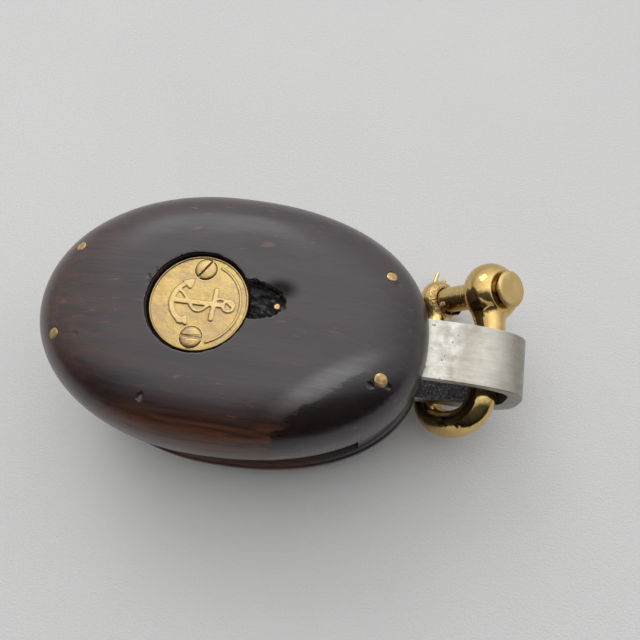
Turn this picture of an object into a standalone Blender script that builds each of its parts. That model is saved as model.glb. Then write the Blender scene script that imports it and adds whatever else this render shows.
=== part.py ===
"""Single sheave block: an oval wooden shell on a steel strap, a roller-bearing sheave and a brass shackle.

Metres, +Z up. The origin is the sheave's centre, +Z is the sheave's axis and +X runs to the head,
where the strap's bail carries the shackle. The block lies on its lower cheek.
"""

import math

import bmesh
import bpy
from mathutils import Euler, Matrix, Vector

GAP = 0.0003                    # between pieces that touch or run in each other
WELD = 0.00001
THROUGH = 0.03                  # reach of a cutter that goes right through a piece
ABOVE = 0.01                    # reach of a cutter past the face it opens

# Shell: two oval cheeks, each with a flat face and a deep rounded rim.
SHELL_X = 0.0034                # the oval's widest place, ahead of the sheave's axis
TAIL_LENGTH, TAIL_POWER = 0.0597, 2.05
HEAD_LENGTH, HEAD_POWER = 0.0673, 2.27
HALF_BREADTH = 0.0428
HALF_SWALLOW = 0.0124           # inner face of a cheek
RIM_Z = 0.0130                  # where the side wall starts to round over
FACE_Z = 0.0335
FLAT_SHARE = 0.50               # share of the oval that is flat
RIM_POWER = 2.6
EDGE_ROUND = 0.0012             # eased edge along the swallow
OVAL_STEPS = 52
RIM_ANGLES = (14, 28, 42, 56, 70, 80)   # where the rounding's profile has points
SPACER_STEP = 6                 # degrees

# Spacers between the cheeks.
SPACER_SHARE = 0.97             # of the oval
HEAD_SPACER_X = 0.0510
SPACER_MIN_STEP = 0.001         # an outline point nearer the straight cut than this is left out
TAIL_SPACER_X = -0.0385

# Steel strap, bent in a U round the nose of the bail.
STRAP_WIDTH = 0.0200
STRAP_THICK = 0.0047
STRAP_TAIL = 0.0110             # past the sheave's axis
BEND_X = 0.0660
BAIL_LENGTH = 0.0343            # from the bend's start to the middle of the nose
BAIL_POWER = 3.5

# Sheave, its roller bearing and its pin.
SHEAVE_RADIUS = 0.0350
SHEAVE_HALF = 0.0107
GROOVE_DEPTH = 0.0055
GROOVE_HALF = 0.0086
WASHER_THICK = 0.0010
WASHER_RADIUS = 0.0170
PIN_RADIUS = 0.00635
PIN_HALF = 0.0295
ROLLER_RADIUS = 0.0025
ROLLER_HALF = 0.0089
ROLLER_COUNT = 8
ROLLER_CIRCLE = PIN_RADIUS + GAP + ROLLER_RADIUS
BUSH_INNER = ROLLER_CIRCLE + ROLLER_RADIUS + GAP
BUSH_OUTER = BUSH_INNER + 0.0023
CAGE_RING = 0.0014              # thickness of a cage ring, and a bar's diameter

# Cover plates and their screws.
PLATE_RADIUS = 0.0153
PLATE_THICK = 0.0024
PLATE_SUNK = 0.0013             # below the cheek's face
PLATE_SEAT_RADIUS = 0.0161
PLATE_RIM = 0.0004
SCREW_Y = 0.0110
SCREW_HEAD_RADIUS = 0.0034
SCREW_HEAD = 0.0012
SCREW_PROUD = 0.0003
SCREW_SHANK = 0.0016
SCREW_LENGTH = 0.0120
SLOT_WIDTH, SLOT_DEPTH = 0.0009, 0.0008
SLOT_ANGLES = {"upper": (58.0, -2.0), "lower": (20.0, 75.0)}

# Through rivets, and the chipped recess with its dowel in the upper cheek.
RIVET_RADIUS = 0.0017
RIVETS = ((-0.0427, 0.0146), (-0.0432, -0.0150), (0.0567, 0.0170), (0.0573, -0.0156))
RECESS = ((0.0130, 0.0092), (0.0175, 0.0088), (0.0207, 0.0078), (0.0241, 0.0063), (0.0265, 0.0040),
          (0.0268, 0.0010), (0.0242, -0.0011), (0.0209, -0.0028), (0.0174, -0.0036), (0.0135, -0.0030))
RECESS_DEPTH = 0.0022
DOWEL_AT = (0.0240, 0.0017)
DOWEL_RADIUS, DOWEL_LENGTH, DOWEL_PROUD = 0.0011, 0.0080, 0.0012

# Shackle. Its own X is the pin's axis, and its own Y runs from the crown to the pin.
SHACKLE_AT = (0.0914, 0.0, -0.0034)             # where the leg in the bail crosses the mid plane
SHACKLE_TURN = (4.0, -51.0, -2.8)               # lean, roll and yaw in degrees
SHACKLE_STOCK = 0.00485
LEG_HALF_SPAN = 0.0132
PIN_Y = 0.0293
CROWN_Y, CROWN_DEPTH, CROWN_POWER = -0.0069, 0.0110, 2.2        # where the legs end, and the crown's curve
EAR_POWER, EAR_STEPS = 2.1, 12
EAR_RADIUS, EAR_BALL, EAR_HALF, EAR_IN = 0.0105, 0.0085, 0.0064, 0.0022     # by the head; centre inward
FAR_RADIUS, FAR_BALL, FAR_HALF, FAR_IN = 0.0081, 0.0055, 0.0040, -0.0018    # by the cotter, flatter
NECK_SHARE, FAR_NECK_SHARE, NECK_LENGTH = 1.25, 1.05, 0.0100
SHACKLE_PIN_RADIUS = 0.0048
SHACKLE_PIN_END = 0.0044                        # past the ear
PIN_HEAD_RADIUS, PIN_HEAD = 0.0064, 0.0028
COTTER_WIRE = 0.00075
COTTER_PITCH = 0.00085                          # half the distance between its two legs
COTTER_EYE = 0.0019
COTTER_OUT = 0.0022                             # past the ear
COTTER_TIPS, COTTER_SPREAD = 0.0138, 0.0022
COTTER_TURN = -20                               # degrees, of the pin and its cotter at rest

MATERIALS = {
    "shell_wood": ((0.052, 0.022, 0.017), 0.0, 0.30),
    "cover_brass": ((0.62, 0.43, 0.17), 1.0, 0.34),
    "rivet_brass": ((0.56, 0.37, 0.14), 1.0, 0.38),
    "strap_steel": ((0.56, 0.55, 0.53), 1.0, 0.32),
    "shackle_brass": ((0.66, 0.45, 0.16), 1.0, 0.20),
    "sheave_bronze": ((0.45, 0.27, 0.11), 1.0, 0.36),
    "bearing_steel": ((0.60, 0.60, 0.60), 1.0, 0.22),
}


def clear_scene():
    for obj in list(bpy.data.objects):
        bpy.data.objects.remove(obj)


def collection(name):
    made = bpy.data.collections.new(name)
    bpy.context.scene.collection.children.link(made)
    return made


def material(name):
    colour, metallic, roughness = MATERIALS[name]
    made = bpy.data.materials.get(name)
    if made is None:
        made = bpy.data.materials.new(name)
        made.use_nodes = True
        shader = made.node_tree.nodes["Principled BSDF"]
        shader.inputs["Base Color"].default_value = (*colour, 1.0)
        shader.inputs["Metallic"].default_value = metallic
        shader.inputs["Roughness"].default_value = roughness
    return made


def add(name, data, where):
    obj = bpy.data.objects.new(name, data)
    where.objects.link(obj)
    return obj


def baked(obj):
    """A new object in obj's place that holds its evaluated mesh, welded."""
    bpy.context.view_layer.update()
    evaluated = obj.evaluated_get(bpy.context.evaluated_depsgraph_get())
    mesh = bpy.data.meshes.new_from_object(evaluated)
    work = bmesh.new()
    work.from_mesh(mesh)
    bmesh.ops.remove_doubles(work, verts=work.verts, dist=WELD)
    work.to_mesh(mesh)
    work.free()
    name, where, world = obj.name, obj.users_collection[0], obj.matrix_world.copy()
    bpy.data.objects.remove(obj)
    made = add(name, mesh, where)
    made.matrix_world = world
    return made


def finish(obj, slot):
    """Bakes the modifiers in, sets the material and shades the round faces smooth."""
    made = baked(obj)
    made.data.materials.clear()
    made.data.materials.append(material(slot))
    made.data.shade_smooth()
    made.data.set_sharp_from_angle(angle=math.radians(35))
    return made


def rod(name, radius, low, high, where, centre=(0.0, 0.0), sides=32):
    """A cylinder along Z between two heights."""
    mesh = bpy.data.meshes.new(name)
    work = bmesh.new()
    bmesh.ops.create_cone(work, cap_ends=True, segments=sides, radius1=radius, radius2=radius,
                          depth=high - low)
    bmesh.ops.translate(work, verts=work.verts, vec=(centre[0], centre[1], (low + high) / 2))
    work.to_mesh(mesh)
    work.free()
    return add(name, mesh, where)


def block(name, low, high, where):
    """A box between two corners."""
    mesh = bpy.data.meshes.new(name)
    work = bmesh.new()
    bmesh.ops.create_cube(work, size=1.0)
    size = Vector(high) - Vector(low)
    bmesh.ops.transform(work, matrix=Matrix.Diagonal((*size, 1.0)), verts=work.verts)
    bmesh.ops.translate(work, verts=work.verts, vec=(Vector(low) + Vector(high)) / 2)
    work.to_mesh(mesh)
    work.free()
    return add(name, mesh, where)


def turned(name, profile, steps, where, ring=False):
    """A profile of (radius, z) points turned round Z. It runs down its outer side, and a ring's is closed."""
    mesh = bpy.data.meshes.new(name)
    count = len(profile)
    edges = [(i, (i + 1) % count) for i in range(count if ring else count - 1)]
    mesh.from_pydata([(radius, 0.0, z) for radius, z in profile], edges, [])
    obj = add(name, mesh, where)
    screw = obj.modifiers.new("Turn", "SCREW")
    screw.steps = screw.render_steps = steps
    screw.use_merge_vertices = True
    screw.merge_threshold = WELD
    return baked(obj)


def flat_solid(name, points, low, high, where):
    """A closed outline of (x, y) points, extruded between two heights."""
    curve = bpy.data.curves.new(name, "CURVE")
    curve.dimensions = "2D"
    curve.fill_mode = "BOTH"
    curve.extrude = (high - low) / 2
    spline = curve.splines.new("POLY")
    spline.points.add(len(points) - 1)
    for point, (x, y) in zip(spline.points, points):
        point.co = (x, y, 0.0, 1.0)
    spline.use_cyclic_u = True
    obj = add(name, curve, where)
    obj.location.z = (low + high) / 2
    return baked(obj)


def tube(name, points, radius, where, shares=None, resolution=3):
    """A round bar along a list of points. shares thins it at each point."""
    curve = bpy.data.curves.new(name, "CURVE")
    curve.dimensions = "3D"
    curve.bevel_depth = radius
    curve.bevel_resolution = resolution
    curve.use_fill_caps = True
    spline = curve.splines.new("POLY")
    spline.points.add(len(points) - 1)
    for index, point in enumerate(spline.points):
        point.co = (*points[index], 1.0)
        point.radius = shares[index] if shares else 1.0
    return baked(add(name, curve, where))


def boolean(obj, other, operation="DIFFERENCE"):
    """Joins other to obj or cuts it away. other is kept as a hidden guide."""
    other.hide_render = True
    other.display_type = "WIRE"
    modifier = obj.modifiers.new(operation.title(), "BOOLEAN")
    modifier.operation = operation
    modifier.object = other


def bevel(obj, width, segments=2):
    modifier = obj.modifiers.new("Edges", "BEVEL")
    modifier.width = width
    modifier.segments = segments
    modifier.limit_method = "ANGLE"


def oval_radius(angle, tail, head, breadth, tail_power, head_power):
    """Polar radius of an oval whose tail and head are different superellipses."""
    length, power = (head, head_power) if math.cos(angle) > 0 else (tail, tail_power)
    terms = abs(math.cos(angle) / length) ** power + abs(math.sin(angle) / breadth) ** power
    return terms ** (-1 / power)


def shell_radius(angle):
    return oval_radius(angle, TAIL_LENGTH, HEAD_LENGTH, HALF_BREADTH, TAIL_POWER, HEAD_POWER)


def rim_height(share):
    """Height of the cheek's surface at a share of the way from the oval's centre to its edge."""
    run = min(1.0, max(0.0, (share - FLAT_SHARE) / (1 - FLAT_SHARE)))
    return RIM_Z + (FACE_Z - RIM_Z) * (1 - run ** RIM_POWER) ** (1 / RIM_POWER)


def shell_height(x, y):
    share = math.hypot(x - SHELL_X, y) / shell_radius(math.atan2(y, x - SHELL_X))
    return rim_height(share)


def mirror_down(obj):
    """Turns an upper piece into the lower one: heights change sign and the faces are turned back."""
    obj.data.transform(Matrix.Diagonal((1.0, 1.0, -1.0, 1.0)))
    obj.data.flip_normals()


def make_cheek(side, parts, guides):
    """Turned as a round dish, then drawn out to the oval, slotted for the strap and bored."""
    rim = []
    for degrees in RIM_ANGLES:
        angle = math.radians(degrees)
        scale = (math.sin(angle) ** RIM_POWER + math.cos(angle) ** RIM_POWER) ** (-1 / RIM_POWER)
        rim.append((FLAT_SHARE + (1 - FLAT_SHARE) * scale * math.sin(angle),
                    RIM_Z + (FACE_Z - RIM_Z) * scale * math.cos(angle)))
    edge = EDGE_ROUND / HALF_BREADTH
    profile = [(0.0, FACE_Z), (FLAT_SHARE, FACE_Z), *rim, (1.0, RIM_Z + EDGE_ROUND),
               (1.0, HALF_SWALLOW + EDGE_ROUND), (1.0 - edge, HALF_SWALLOW), (0.0, HALF_SWALLOW)]
    dish = turned("cheek_" + side, profile, OVAL_STEPS, parts)
    for vertex in dish.data.vertices:
        x, y, z = vertex.co
        share = math.hypot(x, y)
        if share > 0:
            reach = share * shell_radius(math.atan2(y, x))
            vertex.co = (SHELL_X + reach * x / share, reach * y / share, z)
        else:
            vertex.co.x = SHELL_X
    seat = FACE_Z - PLATE_SUNK - PLATE_THICK - GAP
    slot_half = STRAP_WIDTH / 2 + GAP
    cutters = [
        block("strap_slot_" + side, (-STRAP_TAIL - GAP, -slot_half, 0.0),
              (HEAD_LENGTH + ABOVE, slot_half, HALF_SWALLOW + STRAP_THICK + GAP), guides),
        rod("plate_seat_" + side, PLATE_SEAT_RADIUS, seat, FACE_Z + ABOVE, guides, sides=48),
        rod("pin_bore_" + side, PIN_RADIUS + GAP, 0.0, FACE_Z, guides, sides=40),
    ]
    for index, sign in enumerate((1, -1), start=1):
        cutters.append(rod(f"screw_bore_{side}_{index}", SCREW_SHANK + GAP, seat - SCREW_LENGTH, FACE_Z,
                           guides, (0.0, sign * SCREW_Y), 16))
    for index, centre in enumerate(RIVETS, start=1):
        cutters.append(rod(f"rivet_bore_{side}_{index}", RIVET_RADIUS + GAP, 0.0, FACE_Z, guides, centre, 16))
    if side == "upper":
        floor = FACE_Z - RECESS_DEPTH
        cutters.append(flat_solid("recess_cut", RECESS, floor, FACE_Z + ABOVE, guides))
        cutters.append(rod("dowel_bore", DOWEL_RADIUS + GAP, floor - DOWEL_LENGTH, FACE_Z, guides,
                           DOWEL_AT, 12))
    for cutter in cutters:
        boolean(dish, cutter)
    cheek = finish(dish, "shell_wood")
    if side == "lower":
        mirror_down(cheek)


def make_spacer(name, edge_x, parts, guides):
    """A wooden filler between the cheeks: the end of the oval, cut straight across at edge_x."""
    head = edge_x > 0
    start = -180 if head else 0
    outline = []
    for degrees in range(start, start + 361, SPACER_STEP):
        angle = math.radians(degrees)
        reach = SPACER_SHARE * shell_radius(angle)
        x = SHELL_X + reach * math.cos(angle)
        if (x > edge_x) == head and abs(x - edge_x) > SPACER_MIN_STEP:
            outline.append((x, reach * math.sin(angle)))
    y_edge = SPACER_SHARE * half_breadth_at((edge_x - SHELL_X) / SPACER_SHARE + SHELL_X)
    sign = 1 if head else -1
    outline = [(edge_x, -sign * y_edge), *outline, (edge_x, sign * y_edge)]
    solid = flat_solid(name, outline, -HALF_SWALLOW + GAP, HALF_SWALLOW - GAP, parts)
    for index, centre in enumerate(RIVETS, start=1):
        if (centre[0] > 0) == head:
            boolean(solid, rod(f"{name}_bore_{index}", RIVET_RADIUS + GAP, -HALF_SWALLOW, HALF_SWALLOW,
                               guides, centre, 16))
    finish(solid, "shell_wood")


def half_breadth_at(x):
    """Half the oval's breadth at a place along it."""
    length, power = (HEAD_LENGTH, HEAD_POWER) if x > SHELL_X else (TAIL_LENGTH, TAIL_POWER)
    return HALF_BREADTH * (1 - abs((x - SHELL_X) / length) ** power) ** (1 / power)


def strap_line():
    """The strap's middle line in the XZ plane, from the upper leg's end round the nose to the lower one's."""
    half = HALF_SWALLOW + STRAP_THICK / 2
    nose = []
    for degrees in range(90, -91, -9):
        angle = math.radians(degrees)
        reach = oval_radius(angle, BAIL_LENGTH, BAIL_LENGTH, half, BAIL_POWER, BAIL_POWER)
        nose.append((BEND_X + max(0.0, reach * math.cos(angle)), reach * math.sin(angle)))
    return [(-STRAP_TAIL, half), *nose, (-STRAP_TAIL, -half)]


def offset(line, distance):
    """The line moved sideways, to the left of its direction."""
    moved = []
    for index, point in enumerate(line):
        before = Vector(line[max(0, index - 1)])
        after = Vector(line[min(len(line) - 1, index + 1)])
        along = (after - before).normalized()
        moved.append((point[0] - along.y * distance, point[1] + along.x * distance))
    return moved


def make_strap(parts, guides):
    line = strap_line()
    outline = offset(line, STRAP_THICK / 2) + offset(line, -STRAP_THICK / 2)[::-1]
    strap = flat_solid("strap", outline, -STRAP_WIDTH / 2, STRAP_WIDTH / 2, parts)
    strap.data.transform(Matrix.Rotation(math.radians(90), 4, "X"))
    bevel(strap, 0.0005, 2)
    boolean(strap, rod("strap_bore", PIN_RADIUS + GAP, -THROUGH, THROUGH, guides, sides=40))
    finish(strap, "strap_steel")


def make_sheave(parts):
    """Grooved wheel with a dished web, bored for the bush."""
    bore = BUSH_OUTER + GAP
    web_in, web_out, web_half, ease = 0.0190, 0.0270, 0.0080, 0.0008
    groove = []
    for degrees in range(90, -91, -18):
        angle = math.radians(degrees)
        groove.append((SHEAVE_RADIUS - GROOVE_DEPTH * math.cos(angle), GROOVE_HALF * math.sin(angle)))
    upper = [(bore, SHEAVE_HALF), (web_in - ease, SHEAVE_HALF), (web_in + ease, web_half),
             (web_out - ease, web_half), (web_out + ease, SHEAVE_HALF),
             (SHEAVE_RADIUS - ease, SHEAVE_HALF), (SHEAVE_RADIUS, SHEAVE_HALF - ease)]
    lower = [(radius, -z) for radius, z in reversed(upper)]
    finish(turned("sheave", upper + groove + lower, 40, parts, ring=True), "sheave_bronze")


def ring_profile(inner, outer, low, high, ease):
    return [(inner, high), (outer - ease, high), (outer, high - ease), (outer, low + ease),
            (outer - ease, low), (inner, low)]


def make_bearing(parts, guides):
    bush = ring_profile(BUSH_INNER, BUSH_OUTER, -SHEAVE_HALF + GAP, SHEAVE_HALF - GAP, 0.0004)
    finish(turned("bearing_bush", bush, 32, parts, ring=True), "bearing_steel")
    for side in ("upper", "lower"):
        low = SHEAVE_HALF + GAP
        washer = turned("thrust_washer_" + side,
                        ring_profile(PIN_RADIUS + GAP, WASHER_RADIUS, low, low + WASHER_THICK, 0.0002),
                        32, parts, ring=True)
        if side == "lower":
            mirror_down(washer)
        finish(washer, "sheave_bronze")
    for index in range(ROLLER_COUNT):
        angle = math.tau * index / ROLLER_COUNT
        roller = rod(f"roller_{index + 1}", ROLLER_RADIUS, -ROLLER_HALF, ROLLER_HALF, parts, sides=14)
        bevel(roller, 0.0003, 1)
        roller.location = (ROLLER_CIRCLE * math.cos(angle), ROLLER_CIRCLE * math.sin(angle), 0.0)
        finish(roller, "bearing_steel")
    ring_low = ROLLER_HALF + GAP
    ring_high = ring_low + CAGE_RING
    cage_in, cage_out = PIN_RADIUS + 2 * GAP, BUSH_INNER - 2 * GAP
    upper = ring_profile(cage_in, cage_out, ring_low, ring_high, 0.0002)
    lower = ring_profile(cage_in, cage_out, -ring_high, -ring_low, 0.0002)
    cage = turned("roller_cage", upper, 24, parts, ring=True)
    other = turned("cage_ring", lower, 24, guides, ring=True)
    boolean(cage, other, "UNION")
    for index in range(ROLLER_COUNT):
        angle = math.tau * (index + 0.5) / ROLLER_COUNT
        centre = (ROLLER_CIRCLE * math.cos(angle), ROLLER_CIRCLE * math.sin(angle))
        reach = ring_low + CAGE_RING / 2
        boolean(cage, rod(f"cage_bar_{index + 1}", CAGE_RING / 2, -reach, reach, guides, centre, 8), "UNION")
    finish(cage, "sheave_bronze")


def make_sheave_pin(parts):
    ease = 0.0008
    profile = [(0.0, PIN_HALF), (PIN_RADIUS - ease, PIN_HALF), (PIN_RADIUS, PIN_HALF - ease),
               (PIN_RADIUS, -PIN_HALF + ease), (PIN_RADIUS - ease, -PIN_HALF), (0.0, -PIN_HALF)]
    finish(turned("sheave_pin", profile, 40, parts), "bearing_steel")


def make_cover(side, parts, guides):
    """Brass disc with a raised rim and two counterbored screw holes, and its slotted screws."""
    top = FACE_Z - PLATE_SUNK
    bottom = top - PLATE_THICK
    rim_width = 0.0010
    profile = [(0.0, top - PLATE_RIM), (PLATE_RADIUS - rim_width - PLATE_RIM, top - PLATE_RIM),
               (PLATE_RADIUS - rim_width, top), (PLATE_RADIUS - PLATE_RIM / 2, top),
               (PLATE_RADIUS, top - PLATE_RIM / 2), (PLATE_RADIUS, bottom), (0.0, bottom)]
    plate = turned("cover_plate_" + side, profile, 40, parts)
    head_seat = top - SCREW_HEAD
    head_top = top + SCREW_PROUD
    for index, sign in enumerate((1, -1), start=1):
        centre = (0.0, sign * SCREW_Y)
        boolean(plate, rod(f"screw_seat_{side}_{index}", SCREW_HEAD_RADIUS + GAP, head_seat - GAP, FACE_Z,
                           guides, centre, 24))
        boolean(plate, rod(f"screw_hole_{side}_{index}", SCREW_SHANK + GAP, bottom - GAP, FACE_Z,
                           guides, centre, 16))
        tip = bottom + GAP - SCREW_LENGTH
        profile = [(0.0, head_top), (SCREW_HEAD_RADIUS - 0.0006, head_top - 0.0001),
                   (SCREW_HEAD_RADIUS, head_top - 0.0005), (SCREW_HEAD_RADIUS, head_seat),
                   (SCREW_SHANK, head_seat), (SCREW_SHANK, tip + 0.003), (0.0, tip)]
        screw = turned(f"cover_screw_{side}_{index}", profile, 20, parts)
        low = (-PLATE_RADIUS, -SLOT_WIDTH / 2, -SLOT_DEPTH)
        high = (PLATE_RADIUS, SLOT_WIDTH / 2, GAP)
        cut = block(f"slot_{side}_{index}", low, high, guides)
        cut.rotation_euler.z = math.radians(SLOT_ANGLES[side][index - 1])
        cut.location.z = head_top
        boolean(screw, cut)
        screw = finish(screw, "cover_brass")
        screw.data.transform(Matrix.Translation((*centre, 0.0)))
        if side == "lower":
            mirror_down(screw)
    plate = finish(plate, "cover_brass")
    if side == "lower":
        mirror_down(plate)


def make_rivets(parts):
    """Through rivets, their ends dressed to the cheeks' surface."""
    for index, centre in enumerate(RIVETS, start=1):
        rivet = rod(f"shell_rivet_{index}", RIVET_RADIUS, -FACE_Z, FACE_Z, parts, centre, 16)
        for vertex in rivet.data.vertices:
            x, y, z = vertex.co
            vertex.co.z = math.copysign(shell_height(x, y), z)
        finish(rivet, "rivet_brass")


def make_dowel(parts):
    floor = FACE_Z - RECESS_DEPTH
    foot = floor - DOWEL_LENGTH + GAP
    dowel = rod("recess_dowel", DOWEL_RADIUS, foot, floor + DOWEL_PROUD, parts, DOWEL_AT, 12)
    bevel(dowel, 0.0003, 2)
    finish(dowel, "rivet_brass")


def along_x(obj, centre=(0.0, 0.0, 0.0)):
    """Lays a piece made along Z along X instead, moved to centre."""
    obj.data.transform(Matrix.Translation(centre) @ Matrix.Rotation(math.radians(90), 4, "Y"))


def ear_profile(radius, ball, half):
    """A ball cut off flat at both ends, as a profile to turn."""
    profile = [(0.0, half)]
    for step in range(EAR_STEPS + 1):
        z = half * (1 - 2 * step / EAR_STEPS)
        profile.append((radius * (1 - abs(z / ball) ** EAR_POWER) ** (1 / EAR_POWER), z))
    return profile + [(0.0, -half)]


def make_shackle(parts, guides):
    """Bow of round bar with an eye at each end, its pin and the split cotter, in the shackle's own axes."""
    swing = add("shackle_swing_axis", None, parts)
    swing.location = SHACKLE_AT
    swing.rotation_mode = "YXZ"
    swing.rotation_euler = Euler([math.radians(a) for a in SHACKLE_TURN], "YXZ")
    turn = add("shackle_pin_axis", None, parts)
    turn.parent = swing
    turn.location = (-LEG_HALF_SPAN, PIN_Y, 0.0)
    turn.rotation_euler.x = math.radians(COTTER_TURN)

    bend = []
    for degrees in range(0, -181, -12):
        angle = math.radians(degrees)
        reach = oval_radius(angle, LEG_HALF_SPAN, LEG_HALF_SPAN, CROWN_DEPTH, CROWN_POWER, CROWN_POWER)
        bend.append((reach * math.cos(angle) - LEG_HALF_SPAN, CROWN_Y + reach * math.sin(angle), 0.0))
    neck_y = PIN_Y - EAR_RADIUS / 2 - NECK_LENGTH
    eye_y = PIN_Y - EAR_RADIUS / 2
    near = [(-EAR_IN, eye_y, 0.0), (0.0, neck_y, 0.0)]
    far = [(-2 * LEG_HALF_SPAN, neck_y, 0.0), (FAR_IN - 2 * LEG_HALF_SPAN, eye_y, 0.0)]
    shares = [NECK_SHARE, 1.0] + [1.0] * len(bend) + [1.0, FAR_NECK_SHARE]
    bow = tube("shackle_bow", near + bend + far, SHACKLE_STOCK, parts, shares)
    ears = ((-EAR_IN, EAR_RADIUS, EAR_BALL, EAR_HALF),
            (FAR_IN - 2 * LEG_HALF_SPAN, FAR_RADIUS, FAR_BALL, FAR_HALF))
    for index, (x, *shape) in enumerate(ears, start=1):
        ear = turned(f"ear_{index}", ear_profile(*shape), 32, guides)
        along_x(ear, (x, PIN_Y, 0.0))
        boolean(bow, ear, "UNION")
    bore = rod("shackle_bore", SHACKLE_PIN_RADIUS + GAP, -THROUGH, THROUGH, guides, sides=32)
    along_x(bore, (-LEG_HALF_SPAN, PIN_Y, 0.0))
    boolean(bow, bore)
    bow = finish(bow, "shackle_brass")
    bow.parent = swing

    head = LEG_HALF_SPAN - EAR_IN + EAR_HALF + GAP
    far_face = LEG_HALF_SPAN - FAR_IN + FAR_HALF
    tip = -far_face - SHACKLE_PIN_END
    ease = 0.0005
    profile = [(0.0, head + PIN_HEAD), (PIN_HEAD_RADIUS - ease, head + PIN_HEAD),
               (PIN_HEAD_RADIUS, head + PIN_HEAD - ease), (PIN_HEAD_RADIUS, head), (SHACKLE_PIN_RADIUS, head),
               (SHACKLE_PIN_RADIUS, tip + ease * 2), (SHACKLE_PIN_RADIUS - ease * 2, tip), (0.0, tip)]
    pin = turned("shackle_pin", profile, 32, parts)
    along_x(pin)
    hole = rod("cotter_hole", COTTER_WIRE + COTTER_PITCH + GAP, -THROUGH, THROUGH, guides, sides=16)
    across = Matrix.Rotation(math.radians(90), 4, "X")
    hole.data.transform(Matrix.Translation((-far_face - COTTER_OUT, 0.0, 0.0)) @ across)
    boolean(pin, hole)
    pin = finish(pin, "shackle_brass")
    pin.parent = turn

    inside = SHACKLE_PIN_RADIUS + 0.0004
    fold_y = -inside - COTTER_EYE
    half = [(COTTER_TIPS, COTTER_SPREAD), (inside + 0.0022, 0.0014), (inside + 0.0004, COTTER_PITCH),
            (-inside, COTTER_PITCH)]
    eye = [(fold_y + COTTER_EYE * math.cos(math.radians(a)), COTTER_EYE * math.sin(math.radians(a)))
           for a in range(50, 311, 20)]
    path = half + eye + [(y, -z) for y, z in reversed(half)]
    points = [(-far_face - COTTER_OUT, y, z) for y, z in path]
    cotter = finish(tube("cotter_pin", points, COTTER_WIRE, parts, resolution=2), "shackle_brass")
    cotter.parent = turn


def main():
    clear_scene()
    parts = collection("single_sheave_block")
    guides = collection("cutters")
    for side in ("upper", "lower"):
        make_cheek(side, parts, guides)
        make_cover(side, parts, guides)
    make_spacer("head_spacer", HEAD_SPACER_X, parts, guides)
    make_spacer("tail_spacer", TAIL_SPACER_X, parts, guides)
    make_strap(parts, guides)
    make_sheave(parts)
    make_bearing(parts, guides)
    make_sheave_pin(parts)
    make_rivets(parts)
    make_dowel(parts)
    make_shackle(parts, guides)


main()
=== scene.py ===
"""Looks of the single sheave block: varnished wooden cheeks, brass covers, a steel strap and a brass shackle.

Metres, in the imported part's own frame. The sizes of the pieces repeat the CAD model's.
"""

from contextlib import contextmanager
from math import atan2, cos, dist, exp, hypot, radians, sin, tau

import bmesh
import bpy
import numpy as np
from mathutils import Euler, Matrix, Vector, geometry, noise


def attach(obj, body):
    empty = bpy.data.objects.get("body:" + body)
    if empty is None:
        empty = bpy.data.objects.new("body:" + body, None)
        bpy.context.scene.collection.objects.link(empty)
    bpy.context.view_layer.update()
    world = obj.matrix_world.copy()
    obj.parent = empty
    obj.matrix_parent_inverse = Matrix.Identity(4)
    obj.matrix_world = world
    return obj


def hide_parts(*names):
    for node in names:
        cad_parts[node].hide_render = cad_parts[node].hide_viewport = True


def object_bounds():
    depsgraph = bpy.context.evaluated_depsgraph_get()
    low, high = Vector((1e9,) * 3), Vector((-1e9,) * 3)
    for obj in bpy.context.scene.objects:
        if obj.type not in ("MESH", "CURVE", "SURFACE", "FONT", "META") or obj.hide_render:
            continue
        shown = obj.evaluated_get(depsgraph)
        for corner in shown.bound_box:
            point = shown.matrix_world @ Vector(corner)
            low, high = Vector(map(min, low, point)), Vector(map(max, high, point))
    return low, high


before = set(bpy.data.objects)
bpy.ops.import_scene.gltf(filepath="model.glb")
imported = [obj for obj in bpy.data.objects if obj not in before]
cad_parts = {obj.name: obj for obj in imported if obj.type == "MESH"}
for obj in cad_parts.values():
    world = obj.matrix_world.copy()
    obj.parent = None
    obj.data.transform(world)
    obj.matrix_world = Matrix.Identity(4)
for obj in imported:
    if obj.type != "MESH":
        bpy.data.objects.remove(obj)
cad_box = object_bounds()

# Camera and stage.
CAMERA_AT = (0.05866, -0.05956, 0.20535)
CAMERA_TURN = (19.5, 3.89, 9.03)            # degrees
CAMERA_LENS = 35.17
SKY_TOWARDS = Vector((0.10, 0.38, 0.92)).normalized()
SKY = ((0.0, 0.05), (0.42, 0.12), (0.58, 0.46), (0.75, 0.80), (0.87, 1.00), (0.93, 1.25), (1.0, 1.70))
SKY_ACROSS = ((0.30, 0.10), (0.45, 1.00), (0.50, 1.15), (0.62, 1.00))      # its strength from -Y to +Y
SKY_TINT = (1.0, 1.0, 0.99)
WINDOW_AT, WINDOW_SIZE = (-0.35, 0.75, 0.80), (0.55, 0.40)
WINDOW_POWER, WINDOW_COLOUR = 1.6, (1.0, 0.99, 0.97)
FLOOR_REACH = 1.6

# Shell.
GAP = 0.0003
WELD = 0.000002
SHELL_X = 0.0034
TAIL_LENGTH, TAIL_POWER = 0.0597, 2.05
HEAD_LENGTH, HEAD_POWER = 0.0673, 2.27
HALF_BREADTH = 0.0428
HALF_SWALLOW = 0.0124
RIM_Z, FACE_Z = 0.0130, 0.0335
FLAT_SHARE, RIM_POWER = 0.50, 2.6
EDGE_ROUND = 0.0012
SPACER_SHARE = 0.97
HEAD_SPACER_X, TAIL_SPACER_X = 0.0510, -0.0385

# Strap.
STRAP_WIDTH, STRAP_THICK, STRAP_TAIL = 0.0200, 0.0047, 0.0110
STRAP_EDGE = 0.0006
BEND_X, BAIL_LENGTH, BAIL_POWER = 0.0660, 0.0343, 3.5

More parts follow.
